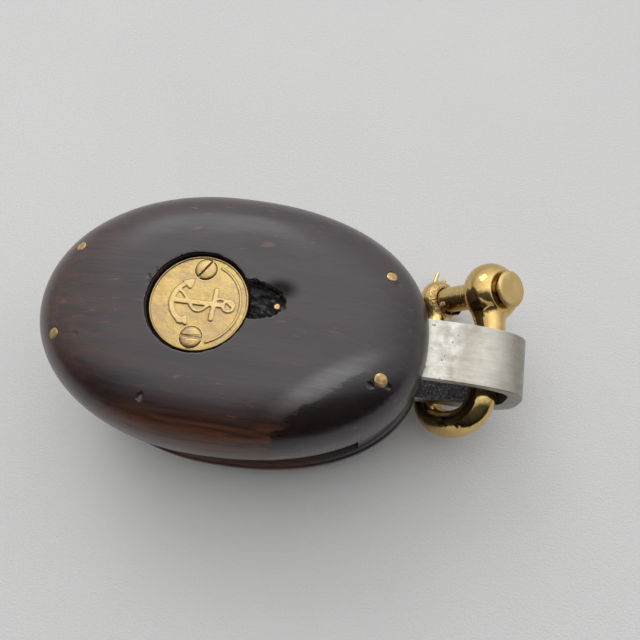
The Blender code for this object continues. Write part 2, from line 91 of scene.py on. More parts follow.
# Sheave.
SHEAVE_RADIUS, SHEAVE_HALF = 0.0350, 0.0107
SHEAVE_BORE = 0.01455
GROOVE_DEPTH, GROOVE_HALF = 0.0055, 0.0086

# Cover plates, screws, rivets and the broken recess.
PIN_RADIUS = 0.00635
PLATE_RADIUS, PLATE_THICK, PLATE_SUNK = 0.0153, 0.0024, 0.0013
PLATE_SEAT_RADIUS = 0.0161
PLATE_RIM = 0.0004
SCREW_Y, SCREW_HEAD_RADIUS, SCREW_HEAD, SCREW_PROUD = 0.0110, 0.0034, 0.0012, 0.0003
SCREW_SHANK, SCREW_LENGTH = 0.0016, 0.0120
SLOT_WIDTH, SLOT_DEPTH = 0.0009, 0.0008
SLOT_ANGLES = {"upper": (58.0, -2.0), "lower": (20.0, 75.0)}
RIVET_RADIUS = 0.0017
RIVETS = ((-0.0427, 0.0146), (-0.0432, -0.0150), (0.0567, 0.0170), (0.0573, -0.0156))
RIVET_SPREAD = (1.0, 1.0, 0.95, 1.14)       # how far each head is spread over its bore
RECESS = ((0.0130, 0.0092), (0.0175, 0.0088), (0.0207, 0.0078), (0.0241, 0.0063), (0.0265, 0.0040),
          (0.0268, 0.0010), (0.0242, -0.0011), (0.0209, -0.0028), (0.0174, -0.0036), (0.0135, -0.0030))
RECESS_DEPTH = 0.0022
DOWEL_AT = (0.0240, 0.0017)
DOWEL_RADIUS, DOWEL_LENGTH, DOWEL_PROUD = 0.0011, 0.0080, 0.0012

# A patch of the upper cheek where the varnish is still glossy and its colour is darkened as a painted dark
# reflection, and how far it is turned from +X.
GLOSS_AT, GLOSS_REACH = (0.0475, -0.0248), (0.0235, 0.0052)
GLOSS_TURN = 37.0

# Shackle, in its own axes: X along its pin, Y from the crown to the pin.
SHACKLE_AT = (0.0914, 0.0, -0.0034)
SHACKLE_TURN = (4.0, -51.0, -2.8)
SHACKLE_STOCK = 0.00485
LEG_HALF_SPAN, PIN_Y = 0.0132, 0.0293
CROWN_Y, CROWN_DEPTH, CROWN_POWER = -0.0069, 0.0110, 2.2
EAR_POWER = 2.1
EAR_RADIUS, EAR_BALL, EAR_HALF, EAR_IN = 0.0105, 0.0085, 0.0064, 0.0022
FAR_RADIUS, FAR_BALL, FAR_HALF, FAR_IN = 0.0081, 0.0055, 0.0040, -0.0018
NECK_SHARE, FAR_NECK_SHARE, NECK_LENGTH = 1.25, 1.05, 0.0100
SHACKLE_PIN_RADIUS, SHACKLE_PIN_END = 0.0048, 0.0044
PIN_HEAD_RADIUS, PIN_HEAD = 0.0064, 0.0028
COTTER_WIRE, COTTER_PITCH, COTTER_EYE = 0.00075, 0.00085, 0.0019
COTTER_OUT, COTTER_TIPS, COTTER_SPREAD = 0.0022, 0.0138, 0.0022
COTTER_TURN = -20.0
BOW_FILLET = 0.0036                         # where an eye runs into its leg, in the looks only

scene = bpy.context.scene


# ---------------- camera, light and floor

def make_camera():
    data = bpy.data.cameras.new("camera")
    data.lens = CAMERA_LENS
    data.sensor_width = 36.0
    data.clip_start = 0.005
    camera = bpy.data.objects.new("camera", data)
    camera.location = CAMERA_AT
    camera.rotation_euler = [radians(a) for a in CAMERA_TURN]
    scene.collection.objects.link(camera)
    scene.camera = camera


def make_light():
    """A soft sky, brightest round one direction and weaker towards -Y, and one window."""
    scene.world = bpy.data.worlds.new("soft_sky")
    scene.world.use_nodes = True
    sky = Nodes(scene.world.node_tree)
    place = sky.node("TexCoord").outputs["Generated"]
    y = sky.node("SeparateXYZ", {0: place}).outputs["Y"]
    background = sky.tree.nodes["Background"]
    for key, along, stops, tint in (("Color", sky.vector("DOT_PRODUCT", place, SKY_TOWARDS), SKY, SKY_TINT),
                                    ("Strength", y, SKY_ACROSS, (1.0, 1.0, 1.0))):
        share = sky.node("MapRange", {"Value": along, "From Min": -1.0}).outputs["Result"]
        colours = [(at, tuple(strength * part for part in tint)) for at, strength in stops]
        sky.feed(background.inputs[key], sky.ramp(share, colours))
    data = bpy.data.lights.new("window", "AREA")
    data.shape = "RECTANGLE"
    data.size, data.size_y = WINDOW_SIZE
    data.energy = WINDOW_POWER
    data.color = WINDOW_COLOUR
    window = bpy.data.objects.new("window", data)
    window.location = WINDOW_AT
    window.rotation_euler = (-Vector(WINDOW_AT)).to_track_quat("-Z", "Y").to_euler()
    scene.collection.objects.link(window)
    scene.view_settings.view_transform = "Standard"


# ---------------- node materials

class Nodes:
    """A node tree, built up socket by socket."""

    def __init__(self, tree):
        self.tree = tree

    def feed(self, socket, value):
        if isinstance(value, bpy.types.NodeSocket):
            self.tree.links.new(value, socket)
        elif socket.type == "RGBA" and len(value) == 3:
            socket.default_value = (*value, 1.0)
        else:
            socket.default_value = value

    def node(self, kind, sockets=(), **settings):
        made = self.tree.nodes.new("ShaderNode" + kind)
        for name, value in settings.items():
            setattr(made, name, value)
        for key, value in dict(sockets).items():
            self.feed(made.inputs[key], value)
        return made

    def vector(self, operation, first, second=(0.0, 0.0, 0.0)):
        made = self.node("VectorMath", {0: first, 1: second}, operation=operation)
        return made.outputs["Value" if operation in ("LENGTH", "DOT_PRODUCT") else "Vector"]

    def ramp(self, value, stops):
        made = self.node("ValToRGB", {"Fac": value})
        elements = made.color_ramp.elements
        while len(elements) < len(stops):
            elements.new(0.5)
        for element, (place, colour) in zip(elements, stops):
            element.position = place
            element.color = (*colour, 1.0)
        return made.outputs["Color"]


class Finish(Nodes):
    """A node material in the frame's axes, or in the axes given, laid down one layer at a time."""

    def __init__(self, name, axes=None, **sockets):
        self.material = bpy.data.materials.new(name)
        self.material.use_nodes = True
        super().__init__(self.material.node_tree)
        self.shader = self.tree.nodes["Principled BSDF"]
        self.colour, self.normal = None, None
        self.place = self.node("TexCoord").outputs["Object"]
        if axes is not None:
            back = axes.inverted()
            keys = {"Vector": self.place, "Location": back.to_translation(), "Rotation": back.to_euler()}
            self.place = self.node("Mapping", keys).outputs[0]
        self.set(**sockets)

    def set(self, **sockets):
        for name, value in sockets.items():
            self.feed(self.shader.inputs[name.replace("_", " ")], value)

    def layer(self, share, amount, colour):
        """Lays a colour over the ones so far, by share times amount."""
        self.colour = self.mix(self.times(share, amount), self.colour, colour)

    def press(self, height, depth):
        """Adds a bump to the ones so far."""
        self.normal = self.bump(height, depth, self.normal)

    def done(self, rough):
        self.set(Base_Color=self.colour, Roughness=rough, Normal=self.normal)
        return self.material

    def band(self, value, low, high, to_low=0.0, to_high=1.0):
        """value between low and high, as a smooth share from to_low to to_high."""
        keys = {"Value": value, 1: low, 2: high, 3: to_low, 4: to_high}
        return self.node("MapRange", keys, interpolation_type="SMOOTHSTEP").outputs[0]

    def noise(self, scale, stretch=(1.0, 1.0, 1.0), detail=3.0, rough=0.55, low=0.3, high=0.7, bend=0.0):
        """Noise as a share. stretch scales the piece's coordinates along each axis."""
        scaled = self.node("Mapping", {"Vector": self.place, "Scale": stretch}).outputs[0]
        keys = {"Vector": scaled, "Scale": scale, "Detail": detail, "Roughness": rough, "Distortion": bend}
        return self.band(self.node("TexNoise", keys).outputs[0], low, high)

    def cells(self, scale, low, high):
        made = self.node("TexVoronoi", {"Vector": self.place, "Scale": scale})
        return self.band(made.outputs["Distance"], low, high)

    def maths(self, operation, first, second=0.0):
        return self.node("Math", {0: first, 1: second}, operation=operation).outputs[0]

    def times(self, first, second):
        return self.maths("MULTIPLY", first, second)

    def plus(self, first, second):
        return self.maths("ADD", first, second)

    def minus(self, first, second):
        return self.maths("SUBTRACT", first, second)

    def mix(self, share, first, second):
        """A colour between first and second."""
        made = self.node("Mix", data_type="RGBA")
        for index, value in ((0, share), (6, first), (7, second)):
            self.feed(made.inputs[index], value)
        return made.outputs[2]

    def axis(self, name):
        return self.node("SeparateXYZ", {0: self.place}).outputs[name]

    def near(self, centre, stretch, inner, outer):
        """1 within inner of a point and 0 past outer, in stretched lengths."""
        scaled = self.vector("MULTIPLY", self.vector("SUBTRACT", self.place, centre), stretch)
        return self.band(self.vector("LENGTH", scaled), inner, outer, 1.0, 0.0)

    def painted(self, name):
        """A share that the mesh holds for each of its points."""
        return self.node("Attribute", attribute_name=name).outputs["Fac"]

    def edges(self, radius, low=0.0, high=0.12):
        """How far the surface turns within radius: 0 on a face and 1 on a crisp edge."""
        soft = self.node("Bevel", {"Radius": radius}, samples=6).outputs[0]
        plain = self.node("NewGeometry").outputs["Normal"]
        return self.band(self.vector("DOT_PRODUCT", soft, plain), 1.0 - high, 1.0 - low, 1.0, 0.0)

    def crevice_shade(self, reach):
        """Ambient occlusion as a share: 1 in a deep corner and 0 on an open face. Laid into a colour, it
        paints shade.
        """
        seen = self.node("AmbientOcclusion", {"Distance": reach}, samples=6).outputs["AO"]
        return self.band(seen, 0.35, 0.95, 1.0, 0.0)

    def bump(self, height, depth, normal=None):
        """A normal that follows height, from 0 to 1, over depth metres."""
        keys = {"Height": height, "Strength": 1.0, "Distance": depth}
        if normal is not None:
            keys["Normal"] = normal
        return self.node("Bump", keys).outputs[0]


def wood_finish():
    """Dark hardwood under worn varnish. The grain runs along X; "raw" is where it is broken open."""
    f = Finish("shell_wood", IOR=1.5, Specular_Tint=(0.9, 0.93, 1.0), Coat_Tint=(0.97, 0.98, 1.0))
    figure = f.noise(60, (0.16, 1.0, 1.0), 4, 0.6, 0.32, 0.72, 1.2)
    streaks = f.noise(620, (0.035, 1.0, 1.0), 4, 0.65, 0.36, 0.66, 0.3)
    fibre = f.noise(2600, (0.03, 1.0, 1.0), 2, 0.5, 0.3, 0.7)
    flecks = f.noise(700, (0.22, 1.0, 1.0), 3, 0.6, 0.61, 0.72, 0.4)
    pores = f.noise(2300, (0.05, 1.0, 1.0), 2, 0.5, 0.62, 0.7)
    clouds = f.noise(42, (0.6, 1.0, 1.0), 4, 0.6, 0.35, 0.68, 0.6)
    f.colour = f.ramp(figure, ((0.0, (0.013, 0.0068, 0.0074)), (0.5, (0.025, 0.0128, 0.0136)),
                               (1.0, (0.042, 0.0195, 0.017))))
    f.layer(streaks, 0.32, (0.052, 0.024, 0.019))
    f.layer(fibre, 0.15, (0.02, 0.0095, 0.0085))
    flank = f.times(f.band(f.axis("Y"), -0.029, -0.0385), f.band(f.axis("X"), 0.05, 0.028))
    tail = f.times(f.band(f.axis("X"), -0.012, -0.046), 0.4)
    warm = f.times(f.maths("MAXIMUM", flank, tail), f.band(streaks, -0.35, 1.0))
    f.layer(warm, 0.8, (0.15, 0.048, 0.017))
    spotted = f.times(flecks, f.band(clouds, 0.35, 0.95, 0.06, 0.7))
    f.layer(spotted, 1.0, (0.2, 0.085, 0.048))
    f.layer(pores, 0.65, (0.006, 0.0035, 0.003))
    # A painted sheen: pale grey above the glossy patch, standing in for a reflection of the bright sky.
    f.layer(f.times(f.painted("painted_sheen"), f.band(streaks, 0, 1, 0.85, 0.6)), 1.0, (0.185, 0.178, 0.172))
    # The glossy patch: lower roughness, and a near-black colour that is a painted dark reflection.
    ragged = f.band(f.noise(330, (0.35, 1.0, 1.0), 4, 0.65, 0.25, 0.75), 0.3, 0.72)
    glossy_and_painted_dark = f.band(f.plus(f.painted("gloss_and_painted_reflection"), f.times(ragged, 0.5)), 0.55, 0.95)
    f.layer(glossy_and_painted_dark, 0.85, (0.0085, 0.0048, 0.0048))
    stain = f.near((0.0243, 0.007, FACE_Z), (0.62, 1.0, 1.0), 0.001, 0.0046)
    f.layer(stain, 0.75, (0.006, 0.0045, 0.005))
    raw = f.painted("raw")
    grit = f.noise(1500, (0.5, 1.0, 1.0), 5, 0.7, 0.35, 0.7)
    broken = f.mix(grit, (0.0035, 0.0028, 0.0028), (0.018, 0.015, 0.015))
    # Painted light and shade in the broken recess: paler grey on its shallow ridges, near black in its
    # depths.
    ridges_painted_light = f.times(f.band(f.painted("deep"), 0.8, 0.45), f.band(grit, 0, 1, 0.3, 1.0))
    broken = f.mix(ridges_painted_light, broken, (0.105, 0.098, 0.098))
    broken = f.mix(f.times(f.noise(2100, detail=2, low=0.66, high=0.76), 0.6), broken,
                   (0.13, 0.115, 0.11))
    chip = f.ramp(f.band(raw, 0.05, 0.6), ((0.0, (0.03, 0.014, 0.011)), (0.45, (0.17, 0.14, 0.13)),
                                           (1.0, (0.01, 0.007, 0.006))))
    bare = f.band(raw, 0.02, 0.3)
    f.layer(bare, 1.0, f.mix(f.band(raw, 0.35, 0.75), chip, broken))
    worn = f.times(f.edges(0.001, 0.02, 0.3), f.minus(1.0, bare))
    f.layer(worn, 0.3, (0.125, 0.07, 0.045))
    satin = f.band(f.plus(f.times(clouds, 0.7), f.times(streaks, 0.3)), 0, 1, 0.36, 0.48)
    satin = f.minus(satin, f.times(glossy_and_painted_dark, 0.2))
    open_wood = f.band(raw, 0.05, 0.4)
    dull = f.minus(1.0, f.maths("MAXIMUM", f.times(stain, 0.85), f.times(flank, 0.35)))
    brushed = f.noise(150, (0.22, 1.0, 1.0), 2, 0.5, 0.25, 0.75)
    f.press(brushed, 0.00003)
    f.press(f.minus(fibre, f.times(pores, 1.5)), 0.000012)
    f.press(f.times(grit, open_wood), 0.00025)
    f.set(Coat_Weight=f.times(f.band(open_wood, 0, 1, 0.55, 0.12), dull), Coat_Roughness=0.24,
          Coat_Normal=f.bump(brushed, 0.00004), Specular_IOR_Level=f.times(0.5, dull))
    return f.done(f.band(open_wood, 0, 1, satin, 0.55))


def cover_finish(name="cover_brass", tarnish=0.4):
    """Cast brass with a satin face; "raised" is where the relief stands proud and is rubbed bright."""
    f = Finish(name, Metallic=1.0)
    blotch = f.noise(210, (1.0, 1.0, 1.0), 4, 0.6, 0.34, 0.7, 0.8)
    speck = f.noise(1700, (1.0, 1.0, 1.0), 4, 0.65, 0.4, 0.72)
    scratch = f.noise(1500, (1.0, 0.05, 1.0), 2, 0.5, 0.6, 0.72)
    cast = f.noise(2600, (1.0, 1.0, 1.0), 4, 0.6, 0.25, 0.75)
    f.colour = f.mix(blotch, (0.5, 0.355, 0.135), (0.64, 0.475, 0.205))
    f.layer(speck, 0.35, (0.5, 0.31, 0.125))
    pink = f.times(f.noise(170, detail=4, low=0.42, high=0.62), tarnish)
    f.layer(pink, 1.0, (0.36, 0.245, 0.185))
    f.layer(f.painted("raised"), 0.4, (0.78, 0.6, 0.28))
    rubbed = f.edges(0.00035, 0.01, 0.16)
    # Painted shade: darker brass in corners and crevices, from ambient occlusion.
    corner = f.crevice_shade(0.0016)
    f.layer(corner, 0.7, (0.135, 0.078, 0.034))
    f.layer(f.times(rubbed, f.minus(0.85, corner)), 1.0, (1.0, 0.84, 0.42))
    rough = f.band(f.plus(f.times(blotch, 0.5), f.times(speck, 0.5)), 0, 1, 0.36, 0.52)
    rough = f.minus(rough, f.times(rubbed, 0.12))
    f.press(cast, 0.00003)
    f.press(scratch, 0.000012)
    f.press(f.noise(320, detail=2), 0.00007)
    return f.done(rough)


def rivet_finish():
    """Brass filed flush: fine file lines, dull in its hollows."""
    f = Finish("rivet_brass", Metallic=1.0)
    filed = f.noise(3000, (0.06, 1.0, 1.0), 2, 0.5, 0.3, 0.7)
    blotch = f.noise(700, detail=4, low=0.35, high=0.68)
    f.colour = f.mix(blotch, (0.42, 0.27, 0.12), (0.72, 0.5, 0.24))
    f.layer(filed, 0.25, (0.82, 0.61, 0.32))
    f.layer(f.edges(0.0003, 0.02, 0.2), 0.5, (0.2, 0.12, 0.06))
    f.press(blotch, 0.00006)
    f.press(filed, 0.00002)
    return f.done(f.band(blotch, 0, 1, 0.5, 0.34))


def polished_finish():
    """Polished brass of the shackle, with tool marks, fine scratches and a rough casting at the far ear."""
    f = Finish("shackle_brass", shackle_axes(), Metallic=1.0)
    blotch = f.noise(160, detail=4, low=0.36, high=0.7, bend=0.7)
    fine = f.noise(1900, (1.0, 0.08, 1.0), 3, 0.6, 0.52, 0.74)
    pits = f.cells(1500, 0.06, 0.22)
    far_ear = f.near((-2 * LEG_HALF_SPAN + 0.0015, PIN_Y, 0.0), (1.0, 1.0, 1.0), 0.0058, 0.0086)
    f.colour = f.mix(blotch, (0.6, 0.41, 0.15), (0.72, 0.52, 0.215))
    f.layer(fine, 0.25, (0.7, 0.45, 0.17))
    # Painted shade: darker brass in corners, from ambient occlusion.
    corner = f.crevice_shade(0.0022)
    f.layer(corner, 0.65, (0.16, 0.085, 0.03))
    worn = f.edges(0.00045, 0.01, 0.2)
    f.layer(worn, 0.5, (1.0, 0.82, 0.45))
    rough = f.band(blotch, 0, 1, 0.07, 0.15)
    rough = f.plus(rough, f.times(fine, 0.05))
    rough = f.plus(rough, f.times(far_ear, 0.16))
    cast = f.times(f.noise(1100, detail=4, low=0.25, high=0.75), far_ear)
    f.press(f.noise(230, detail=2), 0.00008)
    f.press(cast, 0.00035)
    f.press(f.times(f.minus(1.0, pits), 0.6), 0.00002)
    return f.done(rough)


def pin_finish():
    """Turned brass of the shackle pin: rings round its axis, and a satin head."""
    f = Finish("pin_brass", pin_axes(), Metallic=1.0)
    rings = f.noise(2600, (1.0, 0.02, 0.02), 3, 0.6, 0.3, 0.7)
    blotch = f.noise(260, detail=4, low=0.34, high=0.7)
    face = LEG_HALF_SPAN - EAR_IN + EAR_HALF
    head = f.band(f.axis("X"), face, face + 0.001)
    f.colour = f.mix(blotch, (0.64, 0.445, 0.18), (0.74, 0.545, 0.245))
    f.layer(rings, 0.3, (0.58, 0.38, 0.15))
    # Painted shade: darker brass in corners, from ambient occlusion.
    corner = f.crevice_shade(0.002)
    f.layer(corner, 0.75, (0.11, 0.06, 0.025))
    f.layer(f.edges(0.0004, 0.01, 0.2), 0.6, (1.0, 0.83, 0.47))
    rough = f.band(f.plus(f.times(head, 0.7), f.times(blotch, 0.3)), 0, 1, 0.08, 0.4)
    grain = f.noise(2400, detail=3, low=0.3, high=0.7)
    f.press(rings, 0.00002)
    f.press(f.times(grain, head), 0.00003)
    return f.done(rough)


def strap_finish():
    """Satin flat bar: rubbed along its length, mottled, with a few dark pits near the shell."""
    f = Finish("strap_steel", Metallic=1.0)
    rubbed = f.noise(1500, (0.05, 1.0, 0.3), 3, 0.6, 0.3, 0.7)
    across = f.noise(700, (1.0, 0.06, 1.0), 2, 0.5, 0.3, 0.7)
    blotch = f.noise(230, (0.9, 1.0, 1.0), 5, 0.65, 0.36, 0.66, 0.9)
    cloud = f.noise(75, (1.0, 0.5, 1.0), 3, 0.55, 0.34, 0.68, 0.4)
    edge = f.times(f.noise(150, detail=4), 0.008)
    close = f.band(f.plus(f.axis("X"), edge), 0.086, 0.0745)
    pits = f.times(f.noise(900, detail=3, rough=0.6, low=0.665, high=0.72), f.band(close, 0, 1, 0.15, 1.0))
    f.colour = f.mix(cloud, (0.345, 0.322, 0.275), (0.435, 0.408, 0.35))
    mottled = f.times(blotch, f.band(close, 0, 1, 0.08, 0.55))
    f.layer(mottled, 1.0, (0.78, 0.77, 0.73))
    sheen = f.times(f.band(f.axis("X"), 0.0835, 0.088), f.band(f.axis("X"), 0.0955, 0.0905))
    f.layer(sheen, 0.35, (0.6, 0.58, 0.53))
    f.layer(rubbed, 0.14, (0.28, 0.265, 0.24))
    f.layer(f.band(close, 0, 1, 0.0, 0.55), 1.0, (0.62, 0.605, 0.56))
    f.layer(pits, 0.9, (0.07, 0.062, 0.055))
    f.layer(f.edges(0.0005, 0.02, 0.25), 0.45, (0.8, 0.79, 0.77))
    # Painted shade: darker steel in crevices, from ambient occlusion.
    f.layer(f.crevice_shade(0.003), 0.6, (0.06, 0.055, 0.05))
    rough = f.band(f.plus(f.times(blotch, -0.5), f.times(rubbed, 0.4)), -0.5, 0.4, 0.3, 0.46)
    rough = f.plus(rough, f.times(pits, 0.3))
    f.press(cloud, 0.00005)
    f.press(blotch, 0.00001)
    f.press(f.plus(rubbed, f.times(across, 0.4)), 0.000014)
    f.press(f.times(pits, -1.0), 0.00012)
    return f.done(rough)


def scale_finish():
    """The strap's inside: dark scale, pitted, with bright grains where it is rubbed."""
    f = Finish("strap_scale", Metallic=0.6)
    pits = f.noise(950, detail=5, rough=0.7, low=0.34, high=0.66)
    grains = f.noise(1500, detail=4, rough=0.7, low=0.56, high=0.66)
    patch = f.noise(160, detail=3, low=0.4, high=0.68)
    f.colour = f.mix(pits, (0.075, 0.077, 0.088), (0.21, 0.215, 0.235))
    f.layer(grains, 0.85, (0.7, 0.7, 0.74))
    f.layer(patch, 0.35, (0.06, 0.04, 0.03))
    f.layer(f.edges(0.0006, 0.02, 0.25), 0.6, (0.42, 0.42, 0.42))
    f.press(pits, 0.0003)
    f.press(grains, 0.00006)
    return f.done(f.band(pits, 0, 1, 0.62, 0.36))


def bronze_finish():
    """Turned bronze: fine rings round the sheave's axis, and a dark brown painted shade in its corners."""
    f = Finish("sheave_bronze", Metallic=1.0)
    radius = f.vector("LENGTH", f.vector("MULTIPLY", f.place, (1.0, 1.0, 0.0)))
    wound = f.node("CombineXYZ", {0: radius, 1: f.times(f.axis("Z"), 0.7)}).outputs[0]
    keys = {"Vector": wound, "Scale": 3200, "Detail": 3}
    rings = f.band(f.node("TexNoise", keys).outputs[0], 0.3, 0.7)
    blotch = f.noise(130, detail=4, low=0.34, high=0.7, bend=0.8)
    f.colour = f.mix(blotch, (0.36, 0.205, 0.085), (0.6, 0.385, 0.17))
    f.layer(rings, 0.3, (0.3, 0.165, 0.07))
    # Painted shade: dark brown in corners, from ambient occlusion.
    f.layer(f.crevice_shade(0.004), 0.6, (0.06, 0.034, 0.017))
    f.layer(f.edges(0.0006, 0.01, 0.2), 0.6, (0.8, 0.56, 0.29))
    f.press(blotch, 0.00005)
    f.press(rings, 0.00003)
    return f.done(f.band(blotch, 0, 1, 0.3, 0.48))


def bearing_finish():
    """Ground steel, darker in its corners: a painted shade."""
    f = Finish("bearing_steel", Metallic=1.0)
    ground = f.noise(3000, (0.3, 0.3, 1.0), 3, 0.55, 0.3, 0.7)
    blotch = f.noise(300, detail=4, low=0.4, high=0.72)
    f.colour = f.mix(ground, (0.52, 0.52, 0.53), (0.66, 0.66, 0.66))
    f.layer(blotch, 0.35, (0.3, 0.26, 0.2))
    # Painted shade: dark brown in corners, from ambient occlusion.
    f.layer(f.crevice_shade(0.003), 0.6, (0.045, 0.036, 0.026))
    f.layer(f.edges(0.0004, 0.01, 0.2), 0.5, (0.85, 0.85, 0.84))
    f.press(ground, 0.00001)
    return f.done(f.band(blotch, 0, 1, 0.2, 0.4))


def floor_finish():
    """A pale sheet with a fine weave."""
    f = Finish("pale_floor")
    f.colour = f.mix(f.noise(6), (0.7, 0.7, 0.705), (0.73, 0.73, 0.735))
    f.press(f.noise(1500, detail=2), 0.00006)
    return f.done(0.9)


# ---------------- mesh helpers

def build(name, points, faces, materials, shares=None):
    """An object from points and faces. shares holds a value for each point, by name."""
    mesh = bpy.data.meshes.new(name)
    mesh.from_pydata([tuple(p) for p in points], [], faces)
    for material in materials:
        mesh.materials.append(material)
    for key, values in (shares or {}).items():
        mesh.attributes.new(key, "FLOAT", "POINT").data.foreach_set("value", np.asarray(values, np.float32))
    obj = bpy.data.objects.new(name, mesh)
    scene.collection.objects.link(obj)
    return obj


@contextmanager
def edited(obj):
    """obj's mesh to work on, written back with its faces turned outward."""
    work = bmesh.new()
    work.from_mesh(obj.data)
    yield work
    bmesh.ops.recalc_face_normals(work, faces=work.faces)
    work.to_mesh(obj.data)
    work.free()


def cleaned(obj):
    with edited(obj) as work:
        bmesh.ops.remove_doubles(work, verts=work.verts, dist=WELD)
    return obj


def extruded(work, edges):
    """The edges and the points that extruding edges makes."""
    made = bmesh.ops.extrude_edge_only(work, edges=edges)["geom"]
    kinds = (bmesh.types.BMEdge, bmesh.types.BMVert)
    return [[part for part in made if isinstance(part, kind)] for kind in kinds]


def polar(reach, angle, centre=(0.0, 0.0)):
    return centre[0] + reach * cos(angle), centre[1] + reach * sin(angle)


def baked(obj):
    """Applies obj's modifiers to its own mesh."""
    bpy.context.view_layer.update()
    graph = bpy.context.evaluated_depsgraph_get()
    final = obj.evaluated_get(graph)
    mesh = bpy.data.meshes.new_from_object(final, preserve_all_data_layers=True, depsgraph=graph)
    obj.modifiers.clear()
    obj.data = mesh


def combine(obj, others, operation="DIFFERENCE"):
    """Cuts the others away from obj, or joins them to it, and removes them."""
    for other in others:
        modifier = obj.modifiers.new("cut", "BOOLEAN")
        modifier.operation = operation
        modifier.solver = "EXACT"
        modifier.object = other
    baked(obj)
    for other in others:
        bpy.data.objects.remove(other)


def placed(obj, body, node, sharp=38.0):
    """Shades a finished piece, and puts it in the frame for the CAD node it stands for.

    A lower piece is made as its upper one, and turned over here.
    """
    if "_lower" in node:
        obj.data.transform(Matrix.Diagonal((1.0, 1.0, -1.0, 1.0)))
        obj.data.flip_normals()
    obj.name = node + "_fine"
    obj.data.shade_smooth()
    obj.data.set_sharp_from_angle(angle=radians(sharp))
    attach(obj, body)
    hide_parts(node)


def lathe(name, profile, steps, materials, ring=False):
    """A profile of (radius, z) points turned round Z. A ring's profile is closed."""
    points, rows, faces = [], [], []
    for radius, z in profile:
        start = len(points)
        if radius == 0:
            points.append((0.0, 0.0, z))
            rows.append([start] * steps)
            continue
        points += [(*polar(radius, tau * step / steps), z) for step in range(steps)]
        rows.append(list(range(start, start + steps)))
    count = len(rows) if ring else len(rows) - 1
    for index in range(count):
        first, second = rows[index], rows[(index + 1) % len(rows)]
        for step in range(steps):
            after = (step + 1) % steps
            corners = dict.fromkeys((first[step], second[step], second[after], first[after]))
            faces.append(list(corners))
    return cleaned(build(name, points, faces, materials))


def rounded(profile, radius, steps):
    """A profile whose corners, apart from its ends, are rounded off."""
    made = [profile[0]]
    for before, here, after in zip(profile, profile[1:], profile[2:]):
        before, here, after = Vector(before), Vector(here), Vector(after)
        reach = min(radius, (before - here).length * 0.45, (after - here).length * 0.45)
        start = here + (before - here).normalized() * reach
        end = here + (after - here).normalized() * reach
        for step in range(steps + 1):
            t = step / steps
            made.append(tuple(start * (1 - t) ** 2 + here * 2 * t * (1 - t) + end * t ** 2))
    made.append(profile[-1])
    return made


def cylinder(radius, low, high, centre=(0.0, 0.0), sides=48):
    obj = lathe("cutter", [(0.0, low), (radius, low), (radius, high), (0.0, high)], sides, [])
    obj.data.transform(Matrix.Translation((*centre, 0.0)))
    return obj


def box(low, high, turn=0.0, lift=0.0):
    points = [(x, y, z) for z in (low[2], high[2]) for y in (low[1], high[1]) for x in (low[0], high[0])]
    faces = [(0, 2, 3, 1), (4, 5, 7, 6), (0, 1, 5, 4), (2, 6, 7, 3), (0, 4, 6, 2), (1, 3, 7, 5)]
    obj = build("cutter", points, faces, [])
    obj.data.transform(Matrix.Translation((0.0, 0.0, lift)) @ Matrix.Rotation(radians(turn), 4, "Z"))
    return obj


def grid_faces(rows, columns):
    """Quads between rows of points, each row joined from its end to its start."""
    faces = []
    for here in range(0, (rows - 1) * columns, columns):
        for column in range(columns):
            after = (column + 1) % columns
            faces.append((here + column, here + after, here + columns + after, here + columns + column))
    return faces


def sweep(name, sections, materials):
    """A closed bar through a list of equal closed sections, with flat ends."""
    points = [p for section in sections for p in section]
    size = len(sections[0])
    faces = grid_faces(len(sections), size)
    faces.append(tuple(range(size)))
    faces.append(tuple(range(len(points) - size, len(points))))
    return cleaned(build(name, points, faces, materials))


def tube(name, path, radius, materials, shares=None, sides=28, up=(0.0, 0.0, 1.0)):
    """A round bar along a path that never runs parallel to up."""
    sections = []
    for index, point in enumerate(path):
        before, after = Vector(path[max(0, index - 1)]), Vector(path[min(len(path) - 1, index + 1)])
        along = (after - before).normalized()
        side = along.cross(Vector(up)).normalized()
        across = side.cross(along)
        reach = radius * (shares[index] if shares else 1.0)
        section = []
        for step in range(sides):
            angle = tau * step / sides
            section.append(Vector(point) + (side * cos(angle) + across * sin(angle)) * reach)
        sections.append(section)
    return sweep(name, sections, materials)


def wobble(point, length, layers=3):
    """Noise from -1 to 1, with its largest waves of about that length."""
    return noise.fractal(Vector(point) / length, 0.9, 2.1, layers)


# ---------------- shell

def oval_radius(angle, tail, head, breadth, tail_power, head_power):
    """Polar radius of an oval whose tail and head are different superellipses."""
    length, power = (head, head_power) if cos(angle) > 0 else (tail, tail_power)
    terms = abs(cos(angle) / length) ** power + abs(sin(angle) / breadth) ** power
    return terms ** (-1 / power)


def shell_radius(angle):
    return oval_radius(angle, TAIL_LENGTH, HEAD_LENGTH, HALF_BREADTH, TAIL_POWER, HEAD_POWER)


def shell_share(x, y):
    return hypot(x - SHELL_X, y) / shell_radius(atan2(y, x - SHELL_X))


def shell_height(x, y):
    run = min(1.0, max(0.0, (shell_share(x, y) - FLAT_SHARE) / (1 - FLAT_SHARE)))
    return RIM_Z + (FACE_Z - RIM_Z) * (1 - run ** RIM_POWER) ** (1 / RIM_POWER)


def hexes(centre, reach, step):
    """Points a step apart in staggered rows, within reach of centre."""
    found = []
    rows = int(reach / (step * ROW_SHARE)) + 1
    columns = int(reach / step) + 1
    for row in range(-rows, rows + 1):
        for column in range(-columns, columns + 1):
            x, y = (column + 0.5 * (row % 2)) * step, row * step * ROW_SHARE
            if hypot(x, y) <= reach:
                found.append((centre[0] + x, centre[1] + y))
    return found


